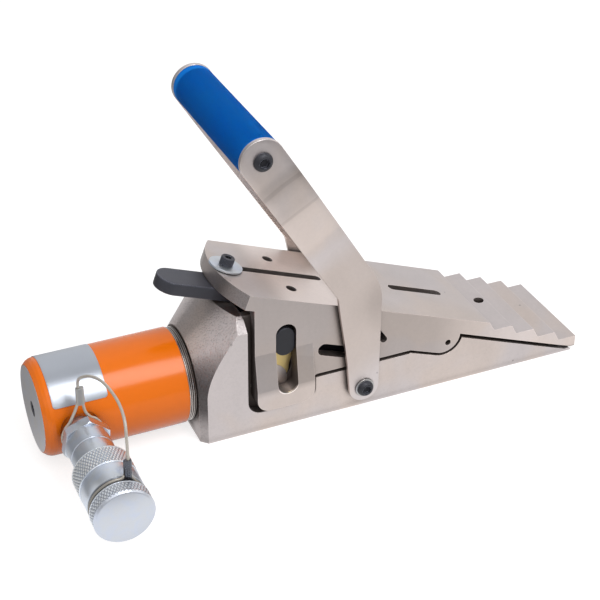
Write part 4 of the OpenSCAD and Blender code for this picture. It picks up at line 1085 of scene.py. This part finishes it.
class SPREADER_OT_tail(bpy.types.Operator):
    """Builds the tail bar, the washer and its socket screw, and the two guide keys"""

    bl_idname = "spreader.tail"
    bl_label = "Tail and keys"

    def execute(self, context):
        sizes = context.scene.spreader_sizes
        half, back, front, sunk = 10.25 * MM, -44.4 * MM, 34 * MM, 18 * MM
        a = quarter(24)
        run = np.linspace(back + half, front, 30)[1:]
        left = np.vstack([
            stacked(back + half - half * np.cos(a), half * np.sin(a)), stacked(run, np.full(len(run), half))
        ])
        bar = slab(left, left * (1, -1), 8 * MM, sizes.bar_ease, 8)
        bar = mapped(bar, lambda s, y, n: on_slope(s, y, n - sunk))
        skin("slide_bar", bar, "oxide_bar", "wedge", ["tail_bar"])
        axis = np.array([math.sin(SLOPE), 0, math.cos(SLOPE)])
        side = (math.cos(SLOPE), 0, -math.sin(SLOPE))
        seat = on_slope(-3 * MM, 0, 0.3 * MM)
        ring = eased(np.array([(0, 2.6), (0, 10.5), (1.5, 10.5), (1.5, 2.6)]) * MM, 0.3 * MM, 4, True)
        skin("slot_washer", [turned(ring, seat, axis, side, 128)], "washer_zinc", "wedge",
             ["penny_washer"])
        rows = [(-19, 0), (-19, 2.45), (0, 2.45), (0, 4.1), (0.25, 4.25)]
        first, last, flutes, flute_depth = len(rows), len(rows) + 12, 32, 0.13 * MM
        rows += [(d, 4.25) for d in np.linspace(0.5, 4.3, last - first)]
        rows += [(4.65, 4.2), (5, 3.85), (5, 2.7), (4.75, 2.35), (2.4, 2.35), (2.0, 0)]

        def head(distance, radius, turn):
            """Fine straight grooves round the head, and its hexagon socket."""
            radius = radius.copy()
            radius[first:last] -= flute_depth * triangle(turn[first:last] / TAU * flutes)
            radius[-3:] *= hexagon(turn[-3:])
            return radius

        screw = turned(np.array(rows) * MM, seat + axis * 1.5 * MM, axis, side, 192, head)
        skin("socket_screw", [screw], "oxide_parts", "wedge", ["tail_screw"])
        low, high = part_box("key_near")
        radius, middle_x, a = half_span("key_near", 0), middle("key_near", 0), quarter(20)
        left = np.vstack([
            stacked(low.z + radius - radius * np.cos(a), radius * np.sin(a)),
            stacked(high.z - radius + radius * np.sin(a), radius * np.cos(a)),
        ])
        inner, outer = -high.y, -low.y
        key = slab(left, left * (1, -1), outer - inner, sizes.bar_ease, 6)
        for name, sign in SIDES:
            placed = mapped(key, lambda z, x, height: (middle_x + x, sign * (inner + height), z))
            skin(f"guide_key_{name}", placed, "oxide_key", "base", [f"key_{name}"])
        return {"FINISHED"}


class SPREADER_OT_port(bpy.types.Operator):
    """Lays the thin yellow plate and the pin's flat head over the cheek's port, behind the jaw's window"""

    bl_idname = "spreader.port"
    bl_label = "Port plate and pin head"

    def execute(self, context):
        cheek, sheet, head, gap = 27.7 * MM, 0.10 * MM, 0.13 * MM, 0.01 * MM
        knots = [(22.5, 24), (25.4, 32.6), (26.5, 35.8), (27, 39.5), (28, 43.3), (29.4, 46.7), (31, 49.8)]
        right = catmull(np.array(knots) * MM, 8)
        plate = slab(stacked(np.full(len(right), 9 * MM), right[:, 1]), right, sheet, 0.03 * MM, 6)
        disc_r, disc_x, disc_z = 12 * MM, 13.7 * MM, 30.3 * MM
        profile = eased([(0, 0), (0, disc_r), (head, disc_r), (head, 0)], 0.04 * MM, 3)
        for name, sign in SIDES:
            placed = mapped(plate, lambda x, z, height: (x, sign * (cheek + gap + height), z))
            skin(f"port_plate_{name}", placed, "chromate_disc", "base")
            disc = turned(profile, (disc_x, sign * (cheek + head), disc_z), (0, sign, 0), (1, 0, 0), 120)
            skin(f"pin_head_{name}", [disc], "pin_steel", "base")
        return {"FINISHED"}


class SPREADER_OT_stage(bpy.types.Operator):
    """Lays a pale floor, three soft lamps and a studio's bright surround"""

    bl_idname = "spreader.stage"
    bl_label = "Stage"

    def execute(self, context):
        scene = context.scene
        edge, white, grey, black = 3.0, (1, 1, 1, 1), (0.5, 0.5, 0.5, 1), (0, 0, 0, 1)
        mesh = bpy.data.meshes.new("floor")
        corners = [(-edge, -edge, 0), (edge, -edge, 0), (edge, edge, 0), (-edge, edge, 0)]
        mesh.from_pydata(corners, [], [(0, 1, 2, 3)])
        floor = add_object("floor", mesh)
        floor.location.z = -0.2 * MM
        f = Finish.material("pale_floor")
        seen_glow, mirror_glow, shelf_glow = 0.74, 0.20, 0.76
        seen, mirror = f.rays("Camera"), f.rays("Glossy", "Transmission")
        x, y = f.part(f.place(), 0), f.part(f.place(), 1)
        # Painted reflection: seen in reflections the floor glows most on a shelf in front of the object and
        # less behind and to its left, to lay light on the metals
        shelf = y.step(-0.60, -0.16) * (1 - y.step(0.15, 0.8) * 0.6)
        shelf = shelf * (1 - y.step(-0.10, 0.06) * x.step(0.0, -0.16))
        shelf = shelf * (1 - y.step(-0.16, -0.30) * x.step(0.05, 0.3) * 0.75)
        strength = seen * seen_glow + mirror * (mirror_glow + shelf * shelf_glow)
        matt, dark = (f.node("ShaderNodeBsdfDiffuse", {"Color": colour}) for colour in (grey, black))
        glow = f.node("ShaderNodeEmission", {"Color": white, "Strength": strength})
        cover = f.node("ShaderNodeMixShader", {0: mirror * 0.8, 1: matt, 2: dark})
        f.node("ShaderNodeOutputMaterial", {"Surface": f.node("ShaderNodeAddShader", {0: cover, 1: glow})})
        mesh.materials.append(f.made)
        aim = Vector((0.03, 0, 0.06))
        for name, place, size, power, tone in (
            ("key_softbox", (-0.55, -1.05, 1.35), (1.5, 1.5), 5.6, (1.0, 0.99, 0.97)),
            ("top_softbox", (0.30, -0.85, 1.30), (0.42, 1.0), 8.2, (0.98, 0.99, 1.0)),
            ("side_softbox", (1.3, -0.7, 0.75), (0.8, 0.8), 3.0, (1.0, 0.98, 0.95)),
        ):
            data = bpy.data.lights.new(name, "AREA")
            data.shape, data.size, data.size_y, data.energy, data.color = "RECTANGLE", *size, power, tone
            lamp = add_object(name, data)
            lamp.location = place
            lamp.rotation_mode = "QUATERNION"
            lamp.rotation_quaternion = (aim - Vector(place)).to_track_quat("-Z", "Y")
        world = bpy.data.worlds.new("studio")
        world.use_nodes = True
        w = Finish(world.node_tree)
        direct, mirror = w.rays("Camera"), w.rays("Glossy", "Transmission")
        heading = w.node("ShaderNodeTexCoord", out="Generated")
        across, back = w.part(heading, 0), w.part(heading, 1)
        card = w.toward(heading, (-0.92, 0.04, 0.39)).step(0.86, 0.98) * 0.40
        studio = 0.32 + back.step(-0.35, 0.5) * across.step(-0.60, 0.25) * 0.56 + card
        studio = studio + (-back).step(0.5, 0.9) * 0.12
        level = direct + (1 - direct) * (mirror * studio + (1 - mirror) * 0.5)
        ground = w.node("ShaderNodeBackground", {"Color": white, "Strength": level})
        w.node("ShaderNodeOutputWorld", {"Surface": ground})
        scene.world = world
        scene.view_settings.view_transform = "Standard"
        return {"FINISHED"}


PIECES = (
    SPREADER_OT_camera, SPREADER_OT_finishes, SPREADER_OT_lanyard, SPREADER_OT_coupler,
    SPREADER_OT_cylinder, SPREADER_OT_bail, SPREADER_OT_tail, SPREADER_OT_port, SPREADER_OT_stage,
)


class SPREADER_PT_panel(bpy.types.Panel):
    """Lists the pieces and their sizes in the sidebar."""

    bl_label = "Wedge spreader"
    bl_idname = "SPREADER_PT_panel"
    bl_space_type = "VIEW_3D"
    bl_region_type = "UI"
    bl_category = "Spreader"

    def draw(self, context):
        column = self.layout.column()
        for piece in PIECES:
            column.operator(piece.bl_idname)
        for group in (context.scene.spreader_sizes, context.scene.spreader_colours):
            box = self.layout.box()
            for key in group.__annotations__:
                box.prop(group, key)


CLASSES = (SpreaderSizes, SpreaderColours, *PIECES, SPREADER_PT_panel)


def register():
    for cls in CLASSES:
        bpy.utils.register_class(cls)
    bpy.types.Scene.spreader_sizes = bpy.props.PointerProperty(type=SpreaderSizes)
    bpy.types.Scene.spreader_colours = bpy.props.PointerProperty(type=SpreaderColours)


def unregister():
    del bpy.types.Scene.spreader_colours
    del bpy.types.Scene.spreader_sizes
    for cls in reversed(CLASSES):
        bpy.utils.unregister_class(cls)


def main():
    """Builds every piece in order."""
    register()
    for piece in PIECES:
        group, name = piece.bl_idname.split(".")
        getattr(getattr(bpy.ops, group), name)()
    bpy.context.view_layer.update()


if __name__ == "__main__":
    main()
